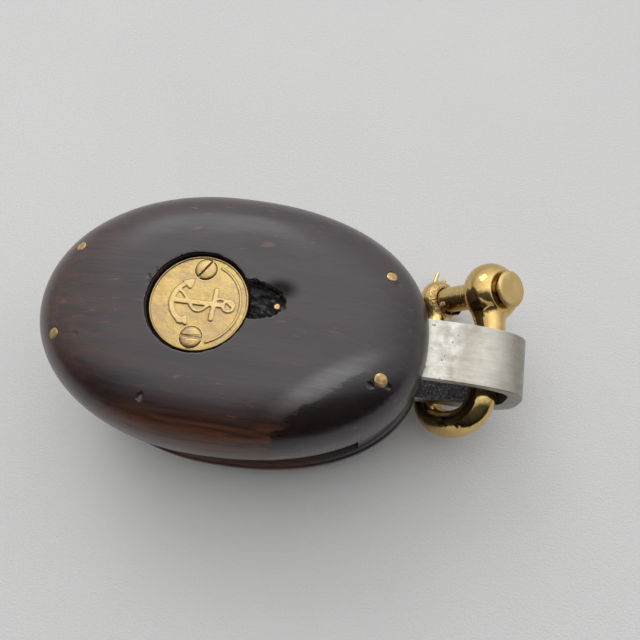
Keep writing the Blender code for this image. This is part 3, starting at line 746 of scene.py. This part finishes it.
def seat_edge(angle, chipped):
    """The ragged radius of the seat round a cover plate."""
    at = Vector((cos(angle), sin(angle), 0.0)) * PLATE_SEAT_RADIUS
    ragged = 0.00028 * wobble(at, 0.0035) + 0.00016 * wobble(at, 0.0009)
    if not chipped:
        return PLATE_SEAT_RADIUS + 0.35 * ragged
    towards = 0.5 + 0.5 * cos(angle - radians(142))
    return PLATE_SEAT_RADIUS + 0.6 * ragged + 0.00035 * towards ** 3


def edge_distance(x, y, outline):
    """Distance to a closed outline, negative inside it."""
    best, inside = 1.0, False
    for (ax, ay), (bx, by) in zip(outline, outline[1:] + outline[:1]):
        dx, dy = bx - ax, by - ay
        t = min(1.0, max(0.0, ((x - ax) * dx + (y - ay) * dy) / (dx * dx + dy * dy)))
        best = min(best, hypot(x - ax - t * dx, y - ay - t * dy))
        if (ay > y) != (by > y) and x < ax + (y - ay) / (by - ay) * dx:
            inside = not inside
    return -best if inside else best


def smooth(value, low, high):
    t = min(1.0, max(0.0, (value - low) / (high - low)))
    return t * t * (3 - 2 * t)


# The plan mesh of a cheek. Wood is cut or worn only within WORKED_SHARE of the outline.
ROW_SHARE = 0.866
SEAT_REACH, CLEAR = 0.0188, 0.0004
RECESS_MIDDLE = (0.0205, 0.004)
WORKED_SHARE = 0.97

# Knocks in the upper cheek: centre, reach and depth. Their ragged edges reach KNOCK_RAGGED times as far.
KNOCK_RAGGED = 2.2
KNOCKS = (((-0.0107, -0.0306), 0.0011, 0.0006), ((0.0588, 0.0146), 0.0012, 0.00045),
          ((0.0549, -0.0175), 0.0012, 0.0004), ((0.0596, -0.0168), 0.0009, 0.00035),
          ((-0.0168, 0.006), 0.0009, 0.0003), ((-0.035, -0.015), 0.001, 0.00012))


def drop_at(x, y, chipped):
    """How far the wood lies below its turned surface."""
    reach, angle = hypot(x, y), atan2(y, x)
    past = reach - seat_edge(angle, chipped)
    seat = PLATE_SUNK + PLATE_THICK + GAP
    if past <= -0.0001:
        drop = seat
    elif past < 0:
        drop = seat * -past / 0.0001 + 0.0002
    else:
        drop = 0.0001 * exp(-past / 0.00025)
    if not chipped:
        return drop
    if 0 <= past < 0.0014:
        upper_left = smooth(cos(angle - radians(150)), 0.86, 0.98)
        flake = wobble((x, y, 0.01), 0.0016) - 0.15
        drop = max(drop, 0.0005 * smooth(flake, 0.0, 0.3) * smooth(past, 0.0013, 0.0002) * upper_left)
    if 0.01 < x < 0.031 and -0.007 < y < 0.015:
        away = edge_distance(x, y, RECESS) + 0.00055 * wobble((x, y, 0.0), 0.003)
        away += 0.00022 * wobble((x, y, 0.02), 0.0009)
        ridge = min(1.0, 2.2 * abs(wobble((x * 0.45, y + 0.3 * x, 0.03), 0.0028, 3)))
        floor = RECESS_DEPTH * (0.5 + 0.7 * ridge)
        floor *= 1.0 - 0.55 * smooth(x, 0.0235, 0.0275) * smooth(y, 0.003, 0.008)
        drop = max(drop, floor * smooth(-away, -0.00015, 0.00055))
    for (cx, cy), size, depth in KNOCKS:
        away = hypot(x - cx, y - cy) / size
        if away < KNOCK_RAGGED:
            away += 0.45 * wobble((x, y, 0.05), 0.0012)
            drop = max(drop, depth * smooth(away, 1.15, 0.25))
    return drop


def gloss_place(x, y):
    """A point's place along and across the glossy patch, in its half lengths."""
    turn = radians(GLOSS_TURN)
    dx, dy = x - GLOSS_AT[0], y - GLOSS_AT[1]
    return ((dx * cos(turn) + dy * sin(turn)) / GLOSS_REACH[0],
            (dy * cos(turn) - dx * sin(turn)) / GLOSS_REACH[1])


def plan_points(chipped):
    """Points over the oval, closer together where the wood is broken or bored."""
    patches = [((0.0, 0.0), SEAT_REACH, 0.0)]
    if chipped:
        patches.append((RECESS_MIDDLE, 0.01, 0.00032))
        patches += [(centre, size * KNOCK_RAGGED, 0.00028) for centre, size, _ in KNOCKS]
    patches += [(centre, 0.0036, 0.0004) for centre in RIVETS]

    def taken(point, count, margin):
        return any(dist(point, centre) < reach + margin for centre, reach, _ in patches[:count])

    points = hexes((0.0, 0.0), 0.0135, 0.0015)
    offsets = (-0.0022, -0.0012, -0.0006, -0.0003, -0.00011, 0.0, 0.00012, 0.00026, 0.00045, 0.0007,
               0.001, 0.0014, 0.0019)
    steps = 380 if chipped else 220
    for row, offset in enumerate(offsets):
        for step in range(steps):
            angle = tau * (step + 0.5 * (row % 2)) / steps
            points.append(polar(seat_edge(angle, chipped) + offset, angle))
    for index, (centre, reach, step) in enumerate(patches[1:], start=1):
        points += [p for p in hexes(centre, reach, step)
                   if shell_share(*p) < WORKED_SHARE and not taken(p, index, step * 0.5)]
    points += [p for p in hexes((SHELL_X, 0.0), 0.04, 0.0013)
               if shell_share(*p) < FLAT_SHARE - 0.015 and not taken(p, len(patches), CLEAR)]
    rings = 34
    for ring in range(rings + 1):
        angle = radians(90 * ring / rings)
        scale = (sin(angle) ** RIM_POWER + cos(angle) ** RIM_POWER) ** (-1 / RIM_POWER)
        share = FLAT_SHARE + (1 - FLAT_SHARE) * scale * sin(angle)
        for step in range(300):
            turn = tau * step / 300
            point = polar(share * shell_radius(turn), turn, (SHELL_X, 0.0))
            if ring == rings or not taken(point, len(patches), CLEAR):
                points.append(point)
    return points


def make_cheek(side):
    chipped = side == "upper"
    flat = [Vector(p) * 1000 for p in plan_points(chipped)]
    flat, _, faces = geometry.delaunay_2d_cdt(flat, [], [], 0, 0.003)[:3]
    points, raw, deep, gloss_and_painted_reflection, painted_sheen = [], [], [], [], []
    for place in flat:
        x, y = place / 1000
        share = shell_share(x, y)
        worked = share < WORKED_SHARE
        drop = drop_at(x, y, chipped) if worked else 0.0
        hand = 0.00005 * (1.0 + wobble((x, y, 0.0 if chipped else 0.3), 0.022, 2))
        z = RIM_Z + EDGE_ROUND if share > 0.9995 else max(shell_height(x, y), RIM_Z + EDGE_ROUND)
        points.append((x, y, z - drop - (hand if worked else 0.0)))
        raw.append(smooth(drop, 0.00025, 0.0012))
        deep.append(min(1.0, drop / RECESS_DEPTH))
        # Mask of the glossy patch, whose dark colour is a painted reflection.
        along, over = gloss_place(x, y)
        gloss_and_painted_reflection.append(smooth(hypot(along, over), 1.3, 0.7) if chipped else 0.0)
        # Mask of the painted sheen just above the glossy patch.
        painted_sheen.append(smooth(hypot(along * 1.2, (over - 1.5) / 0.8), 1.2, 0.2) if chipped else 0.0)
    shares = {"raw": raw, "deep": deep, "gloss_and_painted_reflection": gloss_and_painted_reflection, "painted_sheen": painted_sheen}
    cheek = build("cheek_" + side, points, faces, [WOOD], shares)
    with edited(cheek) as work:
        edges = [e for e in work.edges if e.is_boundary]
        share = 1.0
        for step in range(6):
            turn = radians(90 * step / 5)
            new_share = 1.0 - EDGE_ROUND * (1 - cos(turn)) / HALF_BREADTH
            edges, vertices = extruded(work, edges)
            for vertex in vertices:
                vertex.co.x = SHELL_X + (vertex.co.x - SHELL_X) * new_share / share
                vertex.co.y *= new_share / share
                vertex.co.z = HALF_SWALLOW + EDGE_ROUND * (1 - sin(turn))
            share = new_share
        bmesh.ops.holes_fill(work, edges=edges, sides=0)
    half = STRAP_WIDTH / 2 + GAP
    bed = HALF_SWALLOW + STRAP_THICK + GAP
    cutters = [box((-STRAP_TAIL - GAP, -half, 0.0), (HEAD_LENGTH + 0.01, half, bed)),
               cylinder(PIN_RADIUS + GAP, 0.0, FACE_Z)]
    cutters += [cylinder(RIVET_RADIUS + 0.00012, 0.0, FACE_Z + 0.001, centre, 32) for centre in RIVETS]
    combine(cheek, cutters)
    placed(cheek, "shell", "cheek_" + side, 50.0)


def make_spacer(name, edge_x):
    """A wooden filler: the end of the oval, cut straight across at edge_x, with eased edges."""
    head = edge_x > 0
    start = -180 if head else 0
    outline = []
    for step in range(0, 721, 3):
        angle = radians(start + step / 2)
        x, y = polar(SPACER_SHARE * shell_radius(angle), angle, (SHELL_X, 0.0))
        if (x > edge_x) == head:
            outline.append(Vector((x, y)))
    centre = sum(outline, Vector((0.0, 0.0))) / len(outline)
    top = HALF_SWALLOW - GAP
    ease = 0.0006
    lower = [(-top, ease), (-top + ease * 0.3, ease * 0.3), (-top + ease, 0.0)]
    sections = []
    for z, inset in lower + [(-z, inset) for z, inset in reversed(lower)]:
        section = []
        for point in outline:
            inward = (centre - point).normalized() * inset
            section.append((point.x + inward.x, point.y + inward.y, z))
        sections.append(section)
    placed(sweep(name, sections, [WOOD]), "shell", name)


# ---------------- strap

def strap_line():
    """The strap's middle line in the XZ plane, from the upper leg's end round the nose to the lower one's."""
    half = HALF_SWALLOW + STRAP_THICK / 2
    legs = [(-STRAP_TAIL + (BEND_X + STRAP_TAIL) * step / 130, half) for step in range(130)]
    nose = []
    for step in range(361):
        angle = radians(90 - 0.5 * step)
        reach = oval_radius(angle, BAIL_LENGTH, BAIL_LENGTH, half, BAIL_POWER, BAIL_POWER)
        nose.append((BEND_X + max(0.0, reach * cos(angle)), reach * sin(angle)))
    return legs + nose + [(x, -z) for x, z in reversed(legs)]


def make_strap():
    """Flat bar with eased edges, hand-dressed outside and pitted inside."""
    line = strap_line()
    half_y, half_t = STRAP_WIDTH / 2, STRAP_THICK / 2
    flat_y = half_y - STRAP_EDGE
    outline = [(flat_y - 2 * flat_y * step / 40, half_t, 1.0) for step in range(41)]
    for step in range(1, 5):
        turn = radians(90 * step / 4)
        y, t = STRAP_EDGE * (1 - sin(turn)) - half_y, half_t - STRAP_EDGE * (1 - cos(turn))
        outline.append((y, t, 0.0))
    outline += [(-y, -t, -face) for y, t, face in outline]
    sections = []
    for index, (x, z) in enumerate(line):
        before, after = Vector(line[max(0, index - 1)]), Vector(line[min(len(line) - 1, index + 1)])
        along = (after - before).normalized()
        out = Vector((-along.y, along.x))
        section = []
        for y, t, face in outline:
            place = Vector((x + out.x * t, y, z + out.y * t))
            if face > 0:
                dressed = 0.00006 * (1.0 + wobble((x, y * 0.25, z), 0.012, 2))
                t -= dressed + 0.00001 * (1.0 + wobble(place, 0.003))
            elif face < 0:
                pitted = 0.0001 * smooth(wobble(place, 0.0016, 4), -0.1, 0.5)
                t += pitted + 0.00008 * (1 + wobble(place, 0.007, 2))
            section.append((x + out.x * t, y, z + out.y * t))
        sections.append(section)
    strap = sweep("strap", sections, [STEEL, SCALE])
    for polygon in strap.data.polygons:
        x, y, z = polygon.center
        faces_in = polygon.normal.z * z < -0.3 * abs(z) or (x > BEND_X and polygon.normal.x < -0.3)
        if faces_in and abs(polygon.normal.y) < 0.5:
            polygon.material_index = 1
    combine(strap, [cylinder(PIN_RADIUS + GAP, -FACE_Z, FACE_Z)])
    placed(strap, "shell", "strap", 45.0)


# ---------------- sheave

def make_sheave():
    web_in, web_out, web_half, ease = 0.019, 0.027, 0.008, 0.0008
    groove = []
    for degrees in range(90, -91, -6):
        angle = radians(degrees)
        groove.append((SHEAVE_RADIUS - GROOVE_DEPTH * cos(angle), GROOVE_HALF * sin(angle)))
    upper = [(SHEAVE_BORE, SHEAVE_HALF), (web_in - ease, SHEAVE_HALF), (web_in + ease, web_half),
             (web_out - ease, web_half), (web_out + ease, SHEAVE_HALF),
             (SHEAVE_RADIUS - ease / 2, SHEAVE_HALF), (SHEAVE_RADIUS, SHEAVE_HALF - ease / 2),
             (SHEAVE_RADIUS, (SHEAVE_HALF + GROOVE_HALF) / 2)]
    upper = rounded(upper, 0.0005, 3)
    lower = [(radius, -z) for radius, z in reversed(upper)]
    sheave = lathe("sheave", upper + groove[1:-1] + lower, 160, [BRONZE], ring=True)
    placed(sheave, "sheave", "sheave", 40.0)


# ---------------- cover plates, screws, rivets

def anchor_strokes():
    """A plain anchor with a rope round it, lying along X: (points, half width) of each raised line."""
    arms = []
    for degrees in range(-62, 63, 8):
        angle = radians(180 + degrees)
        arms.append((0.0008 + 0.0092 * cos(angle), 0.0076 * sin(angle)))
    ring = [polar(0.0017, radians(a), (0.0093, 0.0)) for a in range(0, 361, 30)]
    rope = []
    for step in range(25):
        t = step / 24
        rope.append((0.0104 - 0.017 * t, 0.0033 * sin(tau * 1.25 * t) * (0.5 + 0.5 * t)))
    strokes = [([(-0.0084, 0.0), (0.0074, 0.0)], 0.0007), (arms, 0.0007), (ring, 0.00038), (rope, 0.00034),
               ([(0.0048, -0.0046), (0.0048, 0.0046)], 0.00062)]
    for sign in (1, -1):
        tip = (arms[0] if sign < 0 else arms[-1])
        x, y = tip[0], abs(tip[1]) * sign
        strokes.append(([(x - 0.0014, y - sign * 0.0002), (x + 0.0004, y - sign * 0.0016)], 0.0005))
        strokes.append(([(x + 0.0004, y - sign * 0.0016), (x + 0.0008, y + sign * 0.0002)], 0.0005))
    return strokes


def relief_at(points):
    """The relief's height at each point, from 0 on the field to 1 on a raised line."""
    height = np.zeros(len(points))
    for path, width in anchor_strokes():
        away = np.full(len(points), 1.0)
        for start, end in zip(path, path[1:]):
            start, end = np.array(start), np.array(end)
            run = end - start
            t = np.clip(((points - start) @ run) / (run @ run), 0, 1)
            away = np.minimum(away, np.linalg.norm(points - start - t[:, None] * run, axis=1))
        height = np.maximum(height, 1 - np.clip((away - width) / 0.00026, 0, 1))
    reach = np.linalg.norm(points, axis=1)
    line = np.clip(1 - (np.abs(reach - 0.0129) - 0.00022) / 0.00024, 0, 1)
    screws = np.hypot(points[:, 0], np.abs(points[:, 1]) - SCREW_Y)
    line *= np.clip((screws - 0.0044) / 0.0006, 0, 1) * (points[:, 0] > 0.0045)
    height = np.maximum(height, line)
    return height * height * (3 - 2 * height)


def make_cover(side):
    """Cast disc with a raised rim and a plain anchor in relief, and its two slotted screws."""
    top = FACE_Z - PLATE_SUNK
    field = PLATE_RADIUS - 0.0008
    plan = hexes((0.0, 0.0), field, 0.00024)
    rim = ((field + 0.0001, 0.0), (field + 0.0002, 0.35), (field + 0.0003, 0.8), (field + 0.0004, 1.0),
           (PLATE_RADIUS - 0.0003, 1.0), (PLATE_RADIUS - 0.0001, 0.75), (PLATE_RADIUS, 0.35))
    for reach, _ in rim:
        plan += [polar(reach, tau * step / 260) for step in range(260)]
    flat, _, faces = geometry.delaunay_2d_cdt([Vector(p) * 1000 for p in plan], [], [], 0, 0.003)[:3]
    flat = np.array([tuple(p) for p in flat]) / 1000
    raised = relief_at(flat)
    reach = np.linalg.norm(flat, axis=1)
    rise = np.interp(reach, [0.0] + [r for r, _ in rim], [0.0] + [h for _, h in rim])
    points = []
    for (x, y), high, edge in zip(flat, raised, rise):
        cast = 0.00002 * wobble((x, y, 0.0), 0.0014) + 0.00004 * wobble((x, y, 0.1), 0.006, 2)
        z = top - PLATE_RIM + max(0.00034 * high, PLATE_RIM * edge) + (cast if edge == 0 else 0.0)
        points.append((x, y, min(z, top)))
    plate = build("cover_plate_" + side, points, faces, [COVER], {"raised": np.maximum(raised, rise * 0.6)})
    with edited(plate) as work:
        edges, vertices = extruded(work, [e for e in work.edges if e.is_boundary])
        for vertex in vertices:
            vertex.co.z = top - PLATE_THICK
        bmesh.ops.holes_fill(work, edges=edges, sides=0)
    seat = top - SCREW_HEAD
    holes = ((SCREW_HEAD_RADIUS + 0.00016, seat - GAP, FACE_Z, 56),
             (SCREW_SHANK + GAP, 0.02, FACE_Z - 0.001, 24))
    combine(plate, [cylinder(radius, low, high, (0.0, sign * SCREW_Y), sides)
                    for radius, low, high, sides in holes for sign in (1, -1)])
    placed(plate, "shell", "cover_plate_" + side, 55.0)
    for index, sign in enumerate((1, -1), start=1):
        make_screw(side, index, sign * SCREW_Y, top)


def make_screw(side, index, y, top):
    """Slotted screw: its head a little domed, the slot's edges eased, and one slot worn wide."""
    seat, crown = top - SCREW_HEAD, top + SCREW_PROUD
    tip = top - PLATE_THICK + GAP - SCREW_LENGTH
    profile = [(0.0, crown), (0.001, crown - 0.00001), (0.0022, crown - 0.00008), (0.0029, crown - 0.00018),
               (0.0033, crown - 0.00042), (SCREW_HEAD_RADIUS, crown - 0.0007), (SCREW_HEAD_RADIUS, seat),
               (SCREW_SHANK, seat), (SCREW_SHANK, tip + 0.003), (0.0, tip)]
    name = f"cover_screw_{side}_{index}"
    worn = index == 2 and side == "upper"
    screw = lathe(name, profile, 64, [TARNISHED if worn else COVER])
    angle = SLOT_ANGLES[side][index - 1]
    wide = SLOT_WIDTH * (0.62 if worn else 0.5)
    cutters = [box((-0.006, -wide, -SLOT_DEPTH), (0.006, wide, 0.002), angle, crown)]
    if worn:
        cutters.append(box((-0.0008, -0.0009, -0.0004), (0.0046, 0.0007, 0.002), angle + 9, crown))
    combine(screw, cutters)
    soft = screw.modifiers.new("burr", "BEVEL")
    soft.width = 0.0001
    soft.segments = 2
    soft.angle_limit = radians(50)
    baked(screw)
    screw.data.transform(Matrix.Translation((0.0, y, 0.0)))
    placed(screw, "shell", name, 50.0)


def make_rivets():
    """Through rivets, each end dressed to the cheek and left a little proud."""
    shares = (0.0, 0.3, 0.55, 0.75, 0.88, 0.96, 1.0)
    for index, (centre, spread) in enumerate(zip(RIVETS, RIVET_SPREAD), start=1):
        points, sides = [], 36
        for sign in (1, -1):
            order = shares if sign > 0 else shares[::-1]
            for share in order:
                reach = RIVET_RADIUS * share * (spread if sign > 0 else 1.0)
                for step in range(sides):
                    angle = tau * step / sides
                    out = reach * (1 + 0.05 * share * wobble((cos(angle), sin(angle), index), 0.8, 2))
                    x, y = polar(out, angle, centre)
                    dome = 0.0002 * (1 - share ** 3) - 0.00008 * share ** 8
                    dome += 0.00003 * wobble((x, y, 0.0), 0.0012, 2)
                    points.append((x, y, sign * min(shell_height(x, y) + dome, FACE_Z)))
            if sign > 0:
                for depth in (0.0004, 0.0008):
                    for step in range(sides):
                        angle = tau * step / sides
                        x, y = polar(RIVET_RADIUS, angle, centre)
                        points.append((x, y, shell_height(x, y) - depth))
        faces = grid_faces(len(points) // sides, sides)
        rivet = build(f"shell_rivet_{index}", points, faces, [RIVET])
        cleaned(rivet)
        placed(rivet, "shell", f"shell_rivet_{index}", 60.0)


def make_dowel():
    floor = FACE_Z - RECESS_DEPTH
    top = floor + DOWEL_PROUD
    foot = floor - DOWEL_LENGTH + GAP
    profile = [(0.0, top), (0.0006, top - 0.00004), (0.00085, top - 0.00012), (0.00102, top - 0.0003),
               (DOWEL_RADIUS, top - 0.00055), (DOWEL_RADIUS, foot), (0.0, foot)]
    dowel = lathe("recess_dowel", profile, 32, [RIVET])
    dowel.data.transform(Matrix.Translation((*DOWEL_AT, 0.0)))
    placed(dowel, "shell", "recess_dowel", 50.0)


# ---------------- shackle

def shackle_axes():
    turn = Euler([radians(a) for a in SHACKLE_TURN], "YXZ").to_matrix().to_4x4()
    return Matrix.Translation(SHACKLE_AT) @ turn


def pin_axes():
    turn = Matrix.Rotation(radians(COTTER_TURN), 4, "X")
    return shackle_axes() @ Matrix.Translation((-LEG_HALF_SPAN, PIN_Y, 0.0)) @ turn


def bar_along_x(obj, centre=(0.0, 0.0, 0.0)):
    obj.data.transform(Matrix.Translation(centre) @ Matrix.Rotation(radians(90), 4, "Y"))
    return obj


def make_bow():
    """Bow of round bar, forged into a thick round eye at each end. A swell and a shrink fillet its necks."""
    eye_y = PIN_Y - EAR_RADIUS / 2
    neck_y = eye_y - NECK_LENGTH
    near, far, shares, far_shares = [], [], [], []
    for step in range(13):
        t = step / 12
        ease = smooth(t, 0.0, 1.0)
        near.append((-EAR_IN * (1 - ease), eye_y - NECK_LENGTH * t, 0.0))
        far.append((FAR_IN * (1 - ease) - 2 * LEG_HALF_SPAN, eye_y - NECK_LENGTH * t, 0.0))
        shares.append(NECK_SHARE + (1 - NECK_SHARE) * ease)
        far_shares.append(FAR_NECK_SHARE + (1 - FAR_NECK_SHARE) * ease)
    straight = [(0.0, neck_y + (CROWN_Y - neck_y) * step / 14, 0.0) for step in range(1, 14)]
    bend = []
    for step in range(61):
        angle = radians(-3 * step)
        reach = oval_radius(angle, LEG_HALF_SPAN, LEG_HALF_SPAN, CROWN_DEPTH, CROWN_POWER, CROWN_POWER)
        bend.append((reach * cos(angle) - LEG_HALF_SPAN, CROWN_Y + reach * sin(angle), 0.0))
    back = [(x - 2 * LEG_HALF_SPAN, y, z) for x, y, z in reversed(straight)]
    shares += [1.0] * (len(straight) + len(bend) + len(back)) + far_shares[::-1]
    path = near + straight + bend + back + far[::-1]
    bow = tube("shackle_bow", path, SHACKLE_STOCK, [POLISHED], shares, 40)
    eyes = []
    ears = ((-EAR_IN, EAR_RADIUS, EAR_BALL, EAR_HALF),
            (FAR_IN - 2 * LEG_HALF_SPAN, FAR_RADIUS, FAR_BALL, FAR_HALF))
    for x, radius, ball, half in ears:
        profile = [(0.0, half)]
        for step in range(31):
            z = half * (1 - step / 15)
            profile.append((radius * (1 - abs(z / ball) ** EAR_POWER) ** (1 / EAR_POWER), z))
        profile.append((0.0, -half))
        eyes.append(bar_along_x(lathe("eye", profile, 72, []), (x, PIN_Y, 0.0)))
    combine(bow, eyes, "UNION")
    for offset in (BOW_FILLET, -BOW_FILLET):
        swell = bow.modifiers.new("swell", "DISPLACE")
        swell.strength = offset
        swell.mid_level = 0.0
        remesh = bow.modifiers.new("forge", "REMESH")
        remesh.mode = "VOXEL"
        remesh.voxel_size = 0.00034
    soften = bow.modifiers.new("soften", "SMOOTH")
    soften.factor = 0.5
    soften.iterations = 16
    baked(bow)
    near_face = EAR_HALF - EAR_IN + GAP / 2
    far_face = FAR_IN - FAR_HALF - 2 * LEG_HALF_SPAN - GAP / 2
    rooms = ((SHACKLE_PIN_RADIUS, -LEG_HALF_SPAN, -0.03, 0.03),
             (PIN_HEAD_RADIUS, 0.0, near_face, near_face + 0.01),
             (COTTER_TIPS, 0.0, far_face - 0.01, far_face))
    combine(bow, [bar_along_x(cylinder(radius + GAP, low, high, sides=72), (x, PIN_Y, 0.0))
                  for radius, x, low, high in rooms])
    bow.data.materials.clear()
    bow.data.materials.append(POLISHED)
    bow.data.transform(shackle_axes())
    placed(bow, "shackle", "shackle_bow", 48.0)


def make_pin():
    """Turned pin: a flat head with an eased edge, fine rings on its shank, and the cotter's hole."""
    head = LEG_HALF_SPAN - EAR_IN + EAR_HALF + GAP
    face = LEG_HALF_SPAN - FAR_IN + FAR_HALF
    tip = -face - SHACKLE_PIN_END
    top = head + PIN_HEAD
    radius = SHACKLE_PIN_RADIUS
    profile = [(0.0, top), (0.0046, top - 0.00002), (0.0056, top - 0.0001), (0.0061, top - 0.00034),
               (PIN_HEAD_RADIUS, top - 0.0008), (PIN_HEAD_RADIUS, head + 0.0017),
               (PIN_HEAD_RADIUS - 0.0002, head + 0.0015), (radius + 0.0002, head + 0.0014),
               (radius, head + 0.0012)]
    for ring in range(7):
        x = LEG_HALF_SPAN - EAR_IN - EAR_HALF - 0.0012 - 0.0009 * ring
        depth = 0.00009 if ring % 2 else 0.00005
        profile += [(radius, x + 0.0002), (radius - depth, x), (radius, x - 0.0002)]
    profile += [(radius, tip + 0.0011), (radius - 0.0003, tip + 0.0005), (radius - 0.001, tip), (0.0, tip)]
    pin = bar_along_x(lathe("shackle_pin", profile, 96, [PIN]))
    hole = cylinder(COTTER_WIRE + COTTER_PITCH + GAP, -0.01, 0.01, sides=32)
    across = Matrix.Rotation(radians(90), 4, "X")
    hole.data.transform(Matrix.Translation((-face - COTTER_OUT, 0.0, 0.0)) @ across)
    combine(pin, [hole])
    pin.data.transform(pin_axes())
    placed(pin, "shackle_pin", "shackle_pin", 40.0)


def make_cotter():
    """Split cotter: one half-round wire folded into an eye, its two legs spread."""
    face = LEG_HALF_SPAN - FAR_IN + FAR_HALF
    inside = SHACKLE_PIN_RADIUS + 0.0004
    eye_y = -inside - COTTER_EYE
    leg = [(COTTER_TIPS, COTTER_SPREAD), (inside + 0.0022, 0.0014), (inside + 0.0004, COTTER_PITCH),
           (-inside, COTTER_PITCH)]
    eye = [(eye_y + COTTER_EYE * cos(radians(a)), COTTER_EYE * sin(radians(a)))
           for a in range(50, 311, 20)]
    corners = leg + eye + [(y, -z) for y, z in reversed(leg)]
    path = []
    for index in range(len(corners) - 1):
        knots = [corners[max(0, min(len(corners) - 1, index + k))] for k in (-1, 0, 1, 2)]
        for step in range(6):
            t = step / 6
            weights = (-0.5 * t + t * t - 0.5 * t ** 3, 1 - 2.5 * t * t + 1.5 * t ** 3,
                       0.5 * t + 2 * t * t - 1.5 * t ** 3, -0.5 * t * t + 0.5 * t ** 3)
            y, z = (sum(w * k[axis] for w, k in zip(weights, knots)) for axis in (0, 1))
            path.append((-face - COTTER_OUT, y, z))
    path.append((-face - COTTER_OUT, *corners[-1]))
    cotter = tube("cotter_pin", path, COTTER_WIRE, [POLISHED], sides=16, up=(1.0, 0.0, 0.0))
    cotter.data.transform(pin_axes())
    placed(cotter, "shackle_pin", "cotter_pin", 60.0)


# ---------------- the scene

def make_floor():
    signs = ((-1, -1), (1, -1), (1, 1), (-1, 1))
    corners = [(x * FLOOR_REACH, y * FLOOR_REACH, cad_box[0].z) for x, y in signs]
    build("floor", corners, [(0, 1, 2, 3)], [floor_finish()])


make_camera()
make_light()
make_floor()

WOOD, COVER, RIVET = wood_finish(), cover_finish(), rivet_finish()
TARNISHED = cover_finish("screw_tarnished", 0.9)
POLISHED, PIN = polished_finish(), pin_finish()
STEEL, SCALE = strap_finish(), scale_finish()
BRONZE, BEARING = bronze_finish(), bearing_finish()

# The bearing's pieces keep their CAD shapes.
for carried in ["bearing_bush", "sheave_pin"] + [f"roller_{number}" for number in range(1, 9)]:
    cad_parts[carried].material_slots[0].material = BEARING
for carried in ("thrust_washer_upper", "thrust_washer_lower", "roller_cage"):
    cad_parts[carried].material_slots[0].material = BRONZE

for cheek_side in ("upper", "lower"):
    make_cheek(cheek_side)
    make_cover(cheek_side)
make_spacer("head_spacer", HEAD_SPACER_X)
make_spacer("tail_spacer", TAIL_SPACER_X)
make_strap()
make_sheave()
make_rivets()
make_dowel()
make_bow()
make_pin()
make_cotter()
